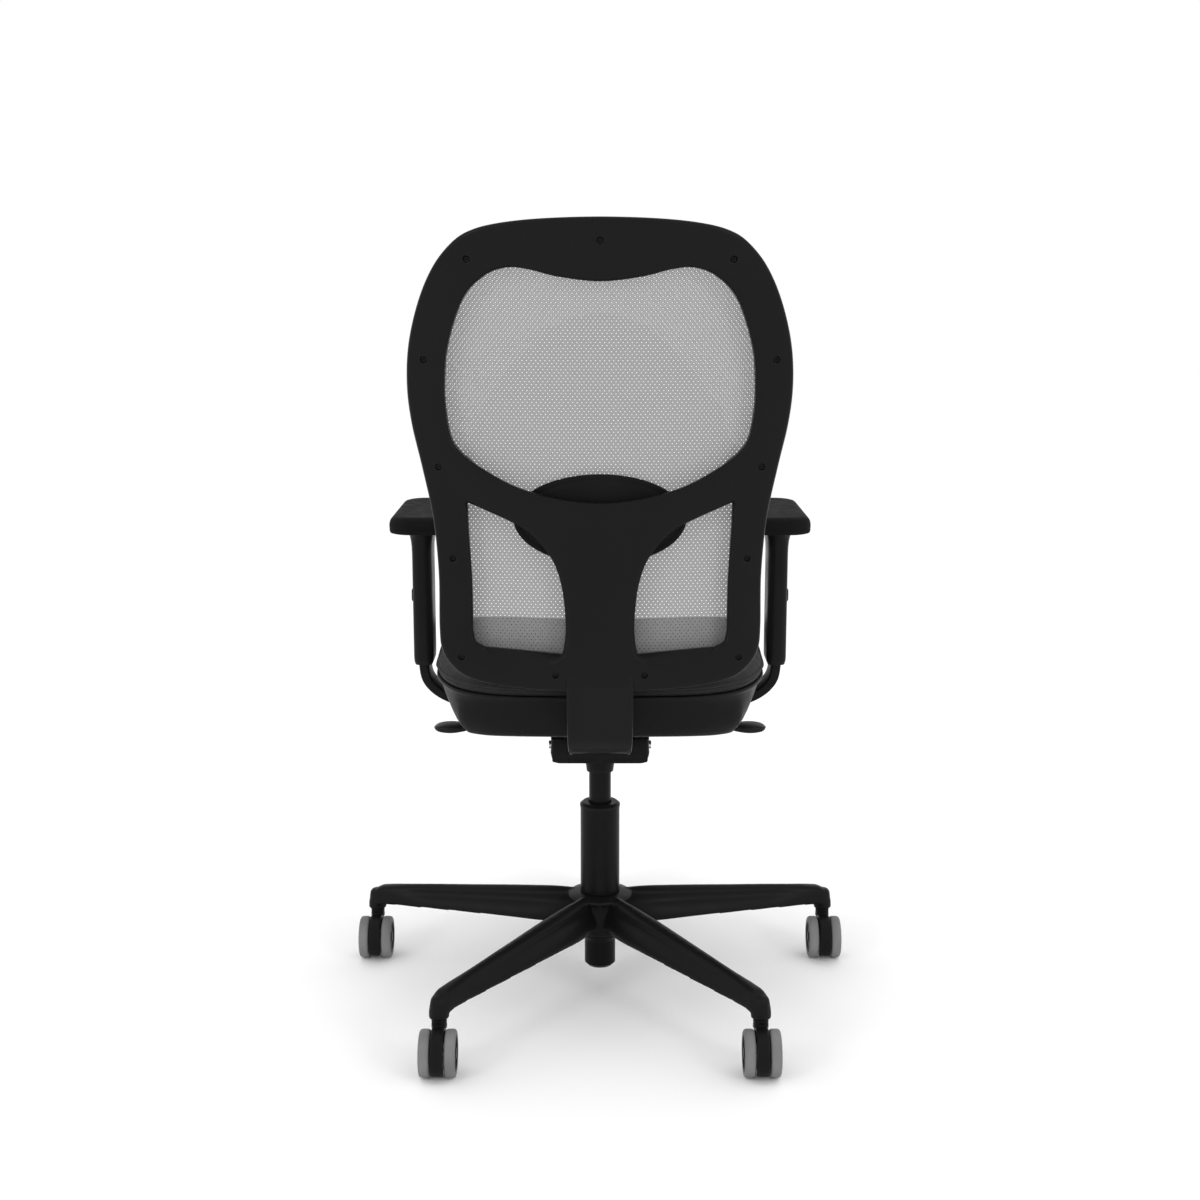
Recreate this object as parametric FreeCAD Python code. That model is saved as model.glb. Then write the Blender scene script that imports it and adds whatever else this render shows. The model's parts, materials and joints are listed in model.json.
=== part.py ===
import FreeCAD, Part
import math
import os

# Swivel office chair with a stretched-net back, modelled in millimetres.
# +Z is up, the origin is on the floor under the column, the sitter faces -Y and +X is
# the sitter's left. Every function makes one piece, or one group of equal pieces.

# ---- driving dimensions ----
BASE_RADIUS = 316.0          # caster stem circle
ARM_ANGLES = [-90.0, -18.0, 54.0, 126.0, 198.0]
HUB_RADIUS = 36.0
HUB_BOTTOM, HUB_TOP = 68.0, 130.0
ARM_TIP_TOP = 93.0
SOCKET_BOTTOM = 62.0
STEM_RADIUS = 5.5
RUNNING = 0.05               # radial clearance of a running fit
PRESSED = 0.02               # radial allowance of a pressed or bolted fit

WHEEL_RADIUS = 27.4
TREAD_WIDTH = 13.0
CASTER_WIDTH = 42.6
CASTER_TRAIL = 20.0
AXLE_RADIUS = 4.0

TUBE_RADIUS, TUBE_TOP = 25.0, 236.0
TUBE_FOOT_RADIUS, TUBE_BOTTOM = 19.8, 22.0
TUBE_WALL = 1.8
COLLAR_TOP = 242.0
CYLINDER_RADIUS = 14.0
PISTON_RADIUS = 5.0
BUSH_BOTTOM = 150.0

MECH_HALF_WIDTH = 60.0
MECH_FRONT, MECH_REAR = -80.0, 80.0
MECH_BOTTOM, MECH_TOP = 316.0, 345.0
BOSS_BOTTOM = 283.0
RECLINE_PIVOT = (62.0, 334.0)     # y, z
TILT_PIVOT = (-58.0, 354.5)       # y, z
SHAFT_RADIUS = 5.0
LEVER_Y, LEVER_Z = 28.0, 347.0
LEVER_X = 66.0                    # the levers' pivot

CARRIAGE_BOTTOM = 364.0
RAIL_X, RAIL_WIDTH = 72.0, 12.0
RAIL_TOP = 376.0
RAIL_REAR = 68.0             # clear of the shell when the seat is fully forward
SLIDE_GAP = 0.4

SEAT_SHELL_BOTTOM = 371.0
SEAT_RIM = 428.0
SEAT_TOP = 456.0
PAN_BOTTOM, PAN_TOP = 384.0, 392.0
SHELL_SETBACK = 28.0         # the shell stops this far behind the cushion's front
WATERFALL_START, WATERFALL_ANGLE = -85.0, 9.5

BACK_PROFILE = [(380, 243), (470, 243), (560, 234), (640, 229), (760, 243), (870, 268), (985, 306)]
BACK_WRAP = 0.00055          # the sides come forward by this times x squared
FRAME_DEPTH = 22.0
SPINE_DEPTH = 12.0
MESH_THICK = 1.5
CARRIER_DEPTH = 7.0
FRAME_BOTTOM = 444.5
TONGUE_TOP = 562.0           # clear of the lumbar pad at its lowest

ARM_X, ARM_Y = 222.8, -30.0
ARM_BOLTS = [108.0, 138.0]
SLEEVE_WIDTH, SLEEVE_DEPTH = 25.0, 54.0
SLEEVE_BOTTOM, SLEEVE_TOP = 418.0, 592.0
POST_WIDTH, POST_DEPTH = 12.0, 40.0
PAD_BOTTOM, PAD_TOP = 598.0, 618.0
BUTTON_Z = 505.0

V = FreeCAD.Vector
X_AXIS, Y_AXIS, Z_AXIS = V(1, 0, 0), V(0, 1, 0), V(0, 0, 1)


# ---- small helpers ----
def box(x0, x1, y0, y1, z0, z1):
    return Part.makeBox(x1 - x0, y1 - y0, z1 - z0, V(x0, y0, z0))


def rod(radius, x, y, z0, z1):
    return Part.makeCylinder(radius, z1 - z0, V(x, y, z0), Z_AXIS)


def rod_x(radius, x0, x1, y, z):
    return Part.makeCylinder(radius, x1 - x0, V(x0, y, z), X_AXIS)


def rod_y(radius, x, y0, y1, z):
    return Part.makeCylinder(radius, y1 - y0, V(x, y0, z), Y_AXIS)


def ring(outer, inner, x, y, z0, z1):
    return rod(outer, x, y, z0, z1).cut(rod(inner, x, y, z0 - 1, z1 + 1))


def turned(points):
    """A solid of revolution about the column axis, from (radius, z) points."""
    outline = [V(r, 0, z) for r, z in points]
    face = Part.Face(Part.makePolygon(outline + outline[:1]))
    return face.revolve(V(0, 0, 0), Z_AXIS, 360)


def rounded_box(x0, x1, y0, y1, z0, z1, radius):
    """A box whose four upright corners are round."""
    block = box(x0, x1, y0, y1, z0, z1)
    uprights = [e for e in block.Edges if abs(e.tangentAt(0).z) > 0.9]
    return block.makeFillet(radius, uprights)


def mirrored(shape):
    return shape.mirror(V(0, 0, 0), X_AXIS)


def spline(points):
    curve = Part.BSplineCurve()
    curve.interpolate(points)
    return curve.toShape()


def mirrored_loop(half, place):
    """A closed smooth outline, symmetric in its first coordinate."""
    left = [(-a, b) for a, b in reversed(half) if a > 0]
    curve = Part.BSplineCurve()
    curve.interpolate(Points=[place(a, b) for a, b in half + left], PeriodicFlag=True)
    return Part.Wire(curve.toShape())


def placed(shape, x=0.0, y=0.0, z=0.0, turn=0.0):
    copy = shape.copy()
    copy.rotate(V(0, 0, 0), Z_AXIS, turn)
    copy.translate(V(x, y, z))
    return copy


# ---- five-star base and casters ----
def arm_section(distance, width, bottom, top):
    """A section across a base arm: wide skirt below, narrow ridge on top."""
    half, height = width / 2, top - bottom
    shape = [(-half, 0), (-0.94 * half, 0.34), (-0.42 * half, 0.74), (-0.34 * half, 1.0),
             (0.34 * half, 1.0), (0.42 * half, 0.74), (0.94 * half, 0.34), (half, 0)]
    points = [V(distance, side, bottom + height * rise) for side, rise in shape]
    return Part.makePolygon(points + points[:1])


def base_arm():
    """One arm of the base, along +X."""
    run = [(20, 54, 78, 130), (90, 49, 79, 123), (180, 41, 75, 112), (260, 33, 71, 101),
           (BASE_RADIUS, 26, 68, ARM_TIP_TOP)]
    arm = Part.makeLoft([arm_section(*section) for section in run], True, False)
    tip = rod(12.0, BASE_RADIUS, 0, SOCKET_BOTTOM, ARM_TIP_TOP)
    rim = [e for e in tip.Edges if e.BoundBox.ZMin > ARM_TIP_TOP - 1]
    return arm.fuse(tip.makeFillet(6.0, rim))


def five_star_base():
    hub = turned([(0, HUB_BOTTOM), (HUB_RADIUS - 3, HUB_BOTTOM), (HUB_RADIUS, 96),
                  (HUB_RADIUS - 4, HUB_TOP), (0, HUB_TOP)])
    body = hub.multiFuse([placed(base_arm(), turn=a) for a in ARM_ANGLES])
    body = body.cut(column_taper(HUB_BOTTOM - 1, HUB_TOP + 1))
    for x, y in stem_places():
        body = body.cut(rod(STEM_RADIUS + RUNNING, x, y, SOCKET_BOTTOM - 1, ARM_TIP_TOP - 9))
    return body.removeSplitter()


def stem_places():
    turns = [math.radians(a) for a in ARM_ANGLES]
    return [(BASE_RADIUS * math.cos(t), BASE_RADIUS * math.sin(t)) for t in turns]


def caster_hood(x, y):
    """The narrow body between the twin wheels, with the collar round its stem."""
    half = CASTER_WIDTH / 2 - TREAD_WIDTH - 0.6
    axle_y = y + CASTER_TRAIL
    web = rod_x(22.0, x - half, x + half, axle_y, WHEEL_RADIUS)
    neck = rounded_box(x - half, x + half, y - 9, axle_y, WHEEL_RADIUS - 2, 57, 3)
    collar = rod(9.5, x, y, 55.5, 61.5)
    body = web.multiFuse([neck, collar])
    body = body.cut(rod_x(AXLE_RADIUS + PRESSED, x - 30, x + 30, axle_y, WHEEL_RADIUS))
    return body.cut(rod(STEM_RADIUS + PRESSED, x, y, 40, 70)).removeSplitter()


def caster_pins(x, y):
    """The upright stem and the wheel axle of one caster."""
    stem = rod(STEM_RADIUS, x, y, 40, ARM_TIP_TOP - 10)
    reach = CASTER_WIDTH / 2 - 3
    axle = rod_x(AXLE_RADIUS, x - reach, x + reach, y + CASTER_TRAIL, WHEEL_RADIUS)
    return Part.makeCompound([stem, axle])


def caster_wheel(x, y, side):
    """One wheel: a dished core and the soft tread round it."""
    inner = side * (CASTER_WIDTH / 2 - TREAD_WIDTH)
    outer = side * CASTER_WIDTH / 2
    x0, x1 = sorted([x + inner, x + outer])
    axle_y = y + CASTER_TRAIL
    tyre = rod_x(WHEEL_RADIUS, x0, x1, axle_y, WHEEL_RADIUS)
    tyre = tyre.makeFillet(3.0, [e for e in tyre.Edges if e.Length > 150 and e.BoundBox.XLength < 1])
    tread = tyre.cut(rod_x(21.0, x0 - 1, x1 + 1, axle_y, WHEEL_RADIUS))
    core = rod_x(21.0, x0 + 0.5, x1 - 0.5, axle_y, WHEEL_RADIUS)
    b0, b1 = (x0 - 1, x1 - 2) if side > 0 else (x0 + 2, x1 + 1)
    core = core.cut(rod_x(AXLE_RADIUS + RUNNING, b0, b1, axle_y, WHEEL_RADIUS))
    return Part.makeCompound([core, tread])


# ---- column ----
def column_taper(z0, z1):
    """The locking taper of the column tube between two heights."""
    def radius(z):
        share = (z - HUB_BOTTOM) / (HUB_TOP - HUB_BOTTOM)
        return 23.2 + (TUBE_RADIUS - 23.2) * share
    return turned([(0, z0), (radius(z0), z0), (radius(z1), z1), (0, z1)])


def gas_lift_tube():
    wide = TUBE_RADIUS
    foot = TUBE_FOOT_RADIUS
    outline = [(wide, TUBE_TOP), (wide, HUB_TOP), (23.2, HUB_BOTTOM), (22.6, 64), (foot, 58),
               (foot, TUBE_BOTTOM + 4), (foot - 4, TUBE_BOTTOM), (7, TUBE_BOTTOM), (7, TUBE_BOTTOM + 3),
               (foot - TUBE_WALL - 2, TUBE_BOTTOM + 3), (foot - TUBE_WALL, TUBE_BOTTOM + 6),
               (foot - TUBE_WALL, 58), (21.0, 66), (wide - TUBE_WALL, HUB_TOP + 6),
               (wide - TUBE_WALL, TUBE_TOP)]
    return turned(outline)


def column_collar():
    inner = CYLINDER_RADIUS + 1.0
    return turned([(inner, TUBE_TOP), (TUBE_RADIUS + 0.6, TUBE_TOP), (TUBE_RADIUS + 0.6, TUBE_TOP + 3),
                   (TUBE_RADIUS - 3, COLLAR_TOP), (inner, COLLAR_TOP)])


def guide_bush():
    return ring(TUBE_RADIUS - TUBE_WALL, CYLINDER_RADIUS + RUNNING, 0, 0, BUSH_BOTTOM, TUBE_TOP)


def thrust_bearing():
    return ring(11.0, PISTON_RADIUS + 0.3, 0, 0, TUBE_BOTTOM + 3, TUBE_BOTTOM + 8)


def piston_rod():
    head = rod(11.0, 0, 0, TUBE_BOTTOM + 8.3, TUBE_BOTTOM + 11)
    stem = rod(PISTON_RADIUS, 0, 0, TUBE_BOTTOM - 1, 190)
    piston = rod(11.5, 0, 0, 180, 190)
    return head.multiFuse([stem, piston])


def gas_cylinder():
    outer = rod(CYLINDER_RADIUS, 0, 0, 72, 338)
    chamber = rod(12.2, 0, 0, 80, 326)
    return outer.cut(chamber).cut(rod(PISTON_RADIUS + RUNNING, 0, 0, 71, 82))


# ---- mechanism under the seat ----
def mechanism_housing():
    w, wall = MECH_HALF_WIDTH, 5.0
    tray = rounded_box(-w, w, MECH_FRONT, MECH_REAR, MECH_BOTTOM + 12, MECH_TOP, 6)
    keel = rounded_box(-w + 6, w - 6, MECH_FRONT + 6, MECH_REAR - 4, MECH_BOTTOM, MECH_BOTTOM + 13, 6)
    pocket = box(-w + wall + 6, w - wall - 6, MECH_FRONT + wall + 6, MECH_REAR + 5, MECH_BOTTOM + 5, 400)
    boss = turned([(0, BOSS_BOTTOM), (17.0, BOSS_BOTTOM), (18.5, BOSS_BOTTOM + 12), (24, MECH_BOTTOM + 1),
                   (24, 326), (0, 326)])
    body = tray.fuse(keel).cut(pocket).fuse(boss)
    y, z = TILT_PIVOT
    for side in (-1, 1):
        x0, x1 = sorted([side * (w - 11), side * (w - 3)])
        body = body.fuse(rounded_ear(x0, x1, y, z, MECH_TOP - 4))
    body = body.cut(rod(CYLINDER_RADIUS + PRESSED, 0, 0, BOSS_BOTTOM - 1, 340))
    for pivot in (RECLINE_PIVOT, TILT_PIVOT):
        body = body.cut(rod_x(SHAFT_RADIUS + PRESSED, -w - 5, w + 5, *pivot))
    return body.removeSplitter()


def rounded_ear(x0, x1, y, z, foot):
    return rod_x(9.5, x0, x1, y, z).fuse(box(x0, x1, y - 9.5, y + 9.5, foot, z))


def mechanism_cover():
    """The plastic skirt round the lower half of the housing, clipped on from below."""
    w = MECH_HALF_WIDTH - 5
    skirt = rounded_box(-w, w, MECH_FRONT + 5, MECH_REAR - 3, MECH_BOTTOM - 2.2, MECH_BOTTOM - 0.2, 6)
    return skirt.cut(rod(25, 0, 0, 300, 340))


def pivot_shaft(pivot):
    return rod_x(SHAFT_RADIUS, -MECH_HALF_WIDTH - 3, MECH_HALF_WIDTH + 3, *pivot)


def recline_springs():
    """Two coil springs lying side by side in the housing."""
    coils = []
    for side in (-1, 1):
        helix = Part.makeHelix(6.4, 50, 6.2)
        section = Part.Wire(Part.makeCircle(1.7, V(6.2, 0, 0), Y_AXIS))
        coil = Part.Wire(helix).makePipeShell([section], True, True)
        coil.rotate(V(0, 0, 0), X_AXIS, 90)
        coil.translate(V(side * 34, 30, 331))
        coils.append(coil)
    return Part.makeCompound(coils)


def lever(side):
    """A side lever: a flat stalk from its pivot to an oval paddle."""
    hub = rod_y(4.5, LEVER_X, LEVER_Y - 8, LEVER_Y + 8, LEVER_Z)
    stalk = box(LEVER_X + 2, 172, LEVER_Y - 5, LEVER_Y + 5, LEVER_Z - 3, LEVER_Z + 3)
    oval = Part.Wire(Part.Ellipse(V(0, 0, 0), 20, 16).toShape())
    paddle = Part.Face(oval).extrude(V(0, 0, 8))
    paddle = paddle.makeFillet(3.2, [e for e in paddle.Edges if e.Length > 60])
    paddle.translate(V(187, LEVER_Y, LEVER_Z - 4))
    whole = hub.multiFuse([stalk, paddle]).cut(rod_y(2.0 + RUNNING, LEVER_X, 0, 60, LEVER_Z))
    return whole if side > 0 else mirrored(whole)


def lever_bearing(side):
    """The clevis on the housing's wall, with the pin that a lever turns on."""
    inner = MECH_HALF_WIDTH
    plate = box(inner, inner + 1.2, LEVER_Y - 11, LEVER_Y + 11, LEVER_Z - 15, LEVER_Z + 4)
    ears = [box(inner, LEVER_X + 4, LEVER_Y + y, LEVER_Y + y + 2.4, LEVER_Z - 4, LEVER_Z + 4)
            for y in (-10.8, 8.4)]
    pin = rod_y(2.0, LEVER_X, LEVER_Y - 10.8, LEVER_Y + 10.8, LEVER_Z)
    whole = plate.multiFuse(ears + [pin])
    return whole if side > 0 else mirrored(whole)


# ---- seat ----
def seat_outline(inset, z, front=0.0):
    """The seat's outline seen from above; front moves its front edge back."""
    half = [(0, 205 - inset), (110, 199 - inset), (170 - inset * 0.7, 166 - inset * 0.7),
            (200 - inset, 96), (206 - inset, 10), (206 - inset, -90), (202 - inset, -176 + front),
            (176 - inset * 0.7, -232 + inset * 0.7 + front), (110, -253 + inset + front),
            (0, -258 + inset + front)]
    return mirrored_loop(half, lambda x, y: V(x, y, z))


def seat_slice(inset, z0, z1, front=0.0):
    return Part.Face(seat_outline(inset, z0, front)).extrude(V(0, 0, z1 - z0))


def seat_carriage():
    """The tilting plate that carries the two slide rails."""
    plate = box(-82, 82, -108, 108, CARRIAGE_BOTTOM, CARRIAGE_BOTTOM + 4)
    y, z = TILT_PIVOT
    body = plate
    for side in (-1, 1):
        x0, x1 = sorted([side * (MECH_HALF_WIDTH - 2.6), side * (MECH_HALF_WIDTH + 2.6)])
        ear = rod_x(8.5, x0, x1, y, z).fuse(box(x0, x1, y - 8.5, y + 8.5, z, CARRIAGE_BOTTOM + 1))
        rail_x0 = side * RAIL_X - RAIL_WIDTH / 2
        rail = box(rail_x0, rail_x0 + RAIL_WIDTH, -105, RAIL_REAR, CARRIAGE_BOTTOM + 3, RAIL_TOP)
        body = body.multiFuse([ear, rail])
    return body.cut(rod_x(SHAFT_RADIUS + RUNNING, -90, 90, y, z)).removeSplitter()


def slide_runner(side):
    """The nylon channel under the pan that runs on one rail."""
    middle = side * RAIL_X
    outer = box(middle - 10, middle + 10, -120, 120, CARRIAGE_BOTTOM + 4 + SLIDE_GAP, PAN_BOTTOM)
    reach = RAIL_WIDTH / 2 + SLIDE_GAP
    groove = box(middle - reach, middle + reach, -130, 130, CARRIAGE_BOTTOM, RAIL_TOP + SLIDE_GAP)
    return outer.cut(groove)


def seat_pan():
    return seat_slice(34, PAN_BOTTOM, PAN_TOP, SHELL_SETBACK)


def seat_shell():
    """The deep dished cover under the seat, open in the middle for the mechanism."""
    back = SHELL_SETBACK
    outer = Part.makeLoft([seat_outline(38, SEAT_SHELL_BOTTOM, back), seat_outline(22, 386, back),
                           seat_outline(13, 405, back), seat_outline(9, SEAT_RIM - 0.5, back)], True, False)
    inner = Part.makeLoft([seat_outline(41, SEAT_SHELL_BOTTOM + 3, back), seat_outline(25.5, 387.5, back),
                           seat_outline(16, 406, back), seat_outline(12, SEAT_RIM + 0.5, back)], True, False)
    shell = outer.cut(inner).cut(box(-92, 92, -156, 124, 360, 380))
    for x in ARM_BOLTS:
        for side in (-1, 1):
            shell = shell.cut(rod(6.4, side * x, ARM_Y, 360, 390))
    return shell


def seat_cushion():
    """Foam in its cover: a plug inside the shell, a crowned top and a front that rolls down."""
    plug = seat_slice(36, PAN_TOP + 0.3, SEAT_RIM + 2, SHELL_SETBACK)
    low = Part.makeLoft([seat_outline(8, SEAT_RIM), seat_outline(0, SEAT_RIM + 14)], True, True)
    top = Part.makeLoft([seat_outline(0, SEAT_RIM + 14), seat_outline(10, SEAT_RIM + 27),
                         seat_outline(40, SEAT_TOP)], True, True)
    roll = seat_slice(4, SEAT_RIM - 30, SEAT_RIM + 4).cut(seat_slice(7, 380, 440, SHELL_SETBACK))
    roll = roll.common(box(-150, 150, -300, -200, 380, 440))
    slope = box(-300, 300, -400, 0, 0, 60)
    slope.rotate(V(0, 0, 0), X_AXIS, WATERFALL_ANGLE)
    slope.translate(V(0, WATERFALL_START, SEAT_TOP - 1))
    return plug.multiFuse([low, top, roll]).cut(slope).removeSplitter()


# ---- back ----
def back_slab(rear_gap, depth):
    """A doubly curved layer of the back, rear_gap in front of its rear surface."""
    sections = []
    for x in (-240, -160, -80, 0, 80, 160, 240):
        shift = -BACK_WRAP * x * x - rear_gap
        rear = [V(x, y + shift, z) for z, y in BACK_PROFILE]
        front = [V(x, y + shift - depth, z) for z, y in BACK_PROFILE]
        edges = [spline(rear), Part.makeLine(rear[-1], front[-1]),
                 spline(front), Part.makeLine(front[0], rear[0])]
        sections.append(Part.Wire(Part.__sortEdges__(edges)))
    return Part.makeLoft(sections, True, False)


def back_prism(wire):
    return Part.Face(wire).extrude(V(0, 420, 0))


def back_outline(inset):
    half = [(0, 964.5), (60, 962.8), (104, 958.5), (134, 951.5), (155, 939.5), (177, 914.5), (195, 878),
            (208, 832), (212, 787), (208.5, 744), (198, 693), (187, 636), (181.5, 575), (181, 515),
            (178, 489), (166, 470), (144, 456.5), (95, 448), (0, FRAME_BOTTOM)]
    middle, tall, wide = 704.5, 260.0, 212.0
    shrink_x, shrink_z = 1 - inset / wide, 1 - inset / tall
    points = [(x * shrink_x, middle + (z - middle) * shrink_z) for x, z in half]
    return mirrored_loop(points, lambda x, z: V(x, 0, z))


def upper_window():
    half = [(0, 898), (44, 902.8), (76, 910.5), (100, 912.2), (124, 903), (147, 879), (165, 830),
            (170, 787), (168.5, 748), (160, 718.5), (132, 694.5), (79, 668.5), (0, 656.5)]
    return mirrored_loop(half, lambda x, z: V(x, 0, z))


def lower_window():
    """The opening beside the spine on the +X side, with a sharp upper corner."""
    def run(points):
        return [V(x, 0, z) for x, z in points]
    outer = run([(149, 655.5), (147, 622), (143.5, 570), (142.5, 512)])
    corner = Part.Arc(V(142.5, 0, 512), V(139, 0, 499.5), V(128, 0, 493.5)).toShape()
    floor = Part.makeLine(V(128, 0, 493.5), V(42, 0, 487))
    inner = run([(42, 487), (39, 506), (39, 530), (43.5, 565), (55, 595), (78, 621), (100, 634.5),
                 (149, 655.5)])
    return Part.Wire([spline(outer), corner, floor, spline(inner)])


def back_frame():
    """The rear moulding: hoop, cross band and spine in one."""
    body = back_slab(0, FRAME_DEPTH).common(back_prism(back_outline(0)))
    body = body.cut(back_prism(upper_window()))
    low = back_prism(lower_window())
    body = body.cut(low).cut(mirrored(low))
    recess = rounded_recess(146, 478, 700)
    recess = recess.fuse(box(-31, 31, 100, 400, 430, 500))
    body = body.cut(back_slab(SPINE_DEPTH, 30).common(recess))
    for x, z in screw_places():
        y = rear_y(x, z)
        body = body.cut(rod_y(3.4, x, y - 7, y + 6, z))
    return body.removeSplitter()


def rounded_recess(half, z0, z1):
    block = box(-half, half, 100, 400, z0, z1)
    return block.makeFillet(18, [e for e in block.Edges if abs(e.tangentAt(0).y) > 0.9])


def rear_y(x, z):
    """The y of the back's rear surface, read from the profile curve."""
    curve = Part.BSplineCurve()
    curve.interpolate([V(0, y, h) for h, y in BACK_PROFILE])
    low, high = curve.FirstParameter, curve.LastParameter
    for _ in range(40):
        middle = (low + high) / 2
        if curve.value(middle).z < z:
            low = middle
        else:
            high = middle
    return curve.value(low).y - BACK_WRAP * x * x


def screw_places():
    half = [(141, 921), (192, 814), (179.5, 695), (165, 592.5), (156, 482), (50, 464)]
    return [(0, 940)] + half + [(-x, z) for x, z in half]


def carrier_screws():
    screws = []
    for x, z in screw_places():
        y = rear_y(x, z)
        head = rod_y(3.2, x, y - 7, y - 4, z)
        screws.append(head.cut(rod_y(1.3, x, y - 5, y - 3, z)))
    return Part.makeCompound(screws)


def back_mesh():
    return back_slab(FRAME_DEPTH + 0.4, MESH_THICK).common(back_prism(back_outline(6)))


def mesh_carrier():
    """The thin hoop that holds the net against the frame from the front."""
    slab = back_slab(FRAME_DEPTH + MESH_THICK + 0.6, CARRIER_DEPTH)
    hoop = back_prism(back_outline(1.5)).cut(back_prism(back_outline(17)))
    return slab.common(hoop).removeSplitter()


def back_bar():
    """The steel bar that runs from the recline pivot under the seat and up the spine."""
    y, z = RECLINE_PIVOT
    under = [V(0, y - 9, z - 7.5), V(0, 198, 358.5)]
    heel = Part.Arc(V(0, 198, 358.5), V(0, 232, 374), V(0, 242.5, 408)).toShape()
    rear = Part.makeLine(V(0, 242.5, 408), V(0, 242.5, FRAME_BOTTOM - 1.5))
    lip = Part.makeLine(V(0, 242.5, FRAME_BOTTOM - 1.5), V(0, 224, FRAME_BOTTOM - 1.5))
    front = Part.makeLine(V(0, 224, FRAME_BOTTOM - 1.5), V(0, 224, 408))
    inner = Part.Arc(V(0, 224, 408), V(0, 216, 384), V(0, 186, 369)).toShape()
    upper = Part.makeLine(V(0, 186, 369), V(0, y - 9, z + 7.5))
    nose = Part.makeLine(V(0, y - 9, z + 7.5), V(0, y - 9, z - 7.5))
    edges = [Part.makeLine(*under), heel, rear, lip, front, inner, upper, nose]
    profile = Part.Face(Part.Wire(edges))
    bar = profile.extrude(V(74, 0, 0))
    bar.translate(V(-37, 0, 0))
    tongue = back_slab(SPINE_DEPTH + 0.3, FRAME_DEPTH - SPINE_DEPTH - 1.0)
    tongue = tongue.common(box(-30, 30, 150, 300, 420, TONGUE_TOP))
    knuckle = rod_x(9.0, -48, 48, y, z)
    return bar.multiFuse([tongue, knuckle]).cut(rod_x(SHAFT_RADIUS + RUNNING, -90, 90, y, z)).removeSplitter()


def lumbar_pad():
    """The oval pad between the cross band and the net."""
    oval = Part.Ellipse(V(0, 0, 0), 97, 47).toShape()
    face = Part.Face(Part.Wire(oval))
    face.rotate(V(0, 0, 0), X_AXIS, 90)
    face.translate(V(0, 0, 636))
    prism = face.extrude(V(0, 420, 0))
    return back_slab(SPINE_DEPTH + 1.5, 4.0).common(prism)


# ---- armrests ----
def arm_bracket():
    """The bent bar bolted under the pan, with the upright that the sleeve slides on."""
    half = POST_WIDTH / 2
    x0, x1 = ARM_X - half, ARM_X + half
    outer = Part.Arc(V(x1, 0, 412), V(x1 - 11, 0, 384), V(x1 - 38, 0, 371)).toShape()
    inner = Part.Arc(V(x0 - 23, 0, 381.5), V(x0 - 6, 0, 392), V(x0, 0, 412)).toShape()
    edges = [Part.makeLine(V(x0, 0, 412), V(x0, 0, 582)), Part.makeLine(V(x0, 0, 582), V(x1, 0, 582)),
             Part.makeLine(V(x1, 0, 582), V(x1, 0, 412)), outer,
             Part.makeLine(V(x1 - 38, 0, 371), V(168, 0, 358)), Part.makeLine(V(168, 0, 358), V(96, 0, 358)),
             Part.makeLine(V(96, 0, 358), V(96, 0, 367)), Part.makeLine(V(96, 0, 367), V(167, 0, 367)),
             Part.makeLine(V(167, 0, 367), V(x0 - 23, 0, 381.5)), inner]
    bar = Part.Face(Part.Wire(edges)).extrude(V(0, POST_DEPTH, 0))
    bar.translate(V(0, ARM_Y - POST_DEPTH / 2, 0))
    bosses = [rod(6, x, ARM_Y, 366, PAN_BOTTOM) for x in ARM_BOLTS]
    return bar.multiFuse(bosses).removeSplitter()


def arm_sleeve():
    """The sliding outer sleeve, flared at the top to carry the pad."""
    w, d = SLEEVE_WIDTH / 2, SLEEVE_DEPTH / 2
    outer = rounded_box(ARM_X - w, ARM_X + w, ARM_Y - d, ARM_Y + d, SLEEVE_BOTTOM, SLEEVE_TOP, 9)
    plate = rounded_box(ARM_X - 20, ARM_X + 18, ARM_Y - 62, ARM_Y + 62, SLEEVE_TOP - 1, PAD_BOTTOM, 12)
    bore_w, bore_d = POST_WIDTH / 2 + 0.4, POST_DEPTH / 2 + 0.4
    bore = box(ARM_X - bore_w, ARM_X + bore_w, ARM_Y - bore_d, ARM_Y + bore_d,
               SLEEVE_BOTTOM - 1, SLEEVE_TOP - 3)
    window = box(ARM_X + bore_w - 0.5, ARM_X + w + 1, ARM_Y - 6.3, ARM_Y + 6.3,
                 BUTTON_Z - 8.3, BUTTON_Z + 8.3)
    return outer.fuse(plate).cut(bore).cut(window).removeSplitter()


def arm_button():
    w = SLEEVE_WIDTH / 2
    return box(ARM_X + w - 1.2, ARM_X + w + 2.8, ARM_Y - 6, ARM_Y + 6, BUTTON_Z - 8, BUTTON_Z + 8)


def arm_pad():
    pad = rounded_box(174, 254, -115, 86, PAD_BOTTOM, PAD_TOP, 26)
    rims = [e for e in pad.Edges if e.BoundBox.ZLength < 0.1]
    return pad.makeFillet(7, rims)


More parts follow.
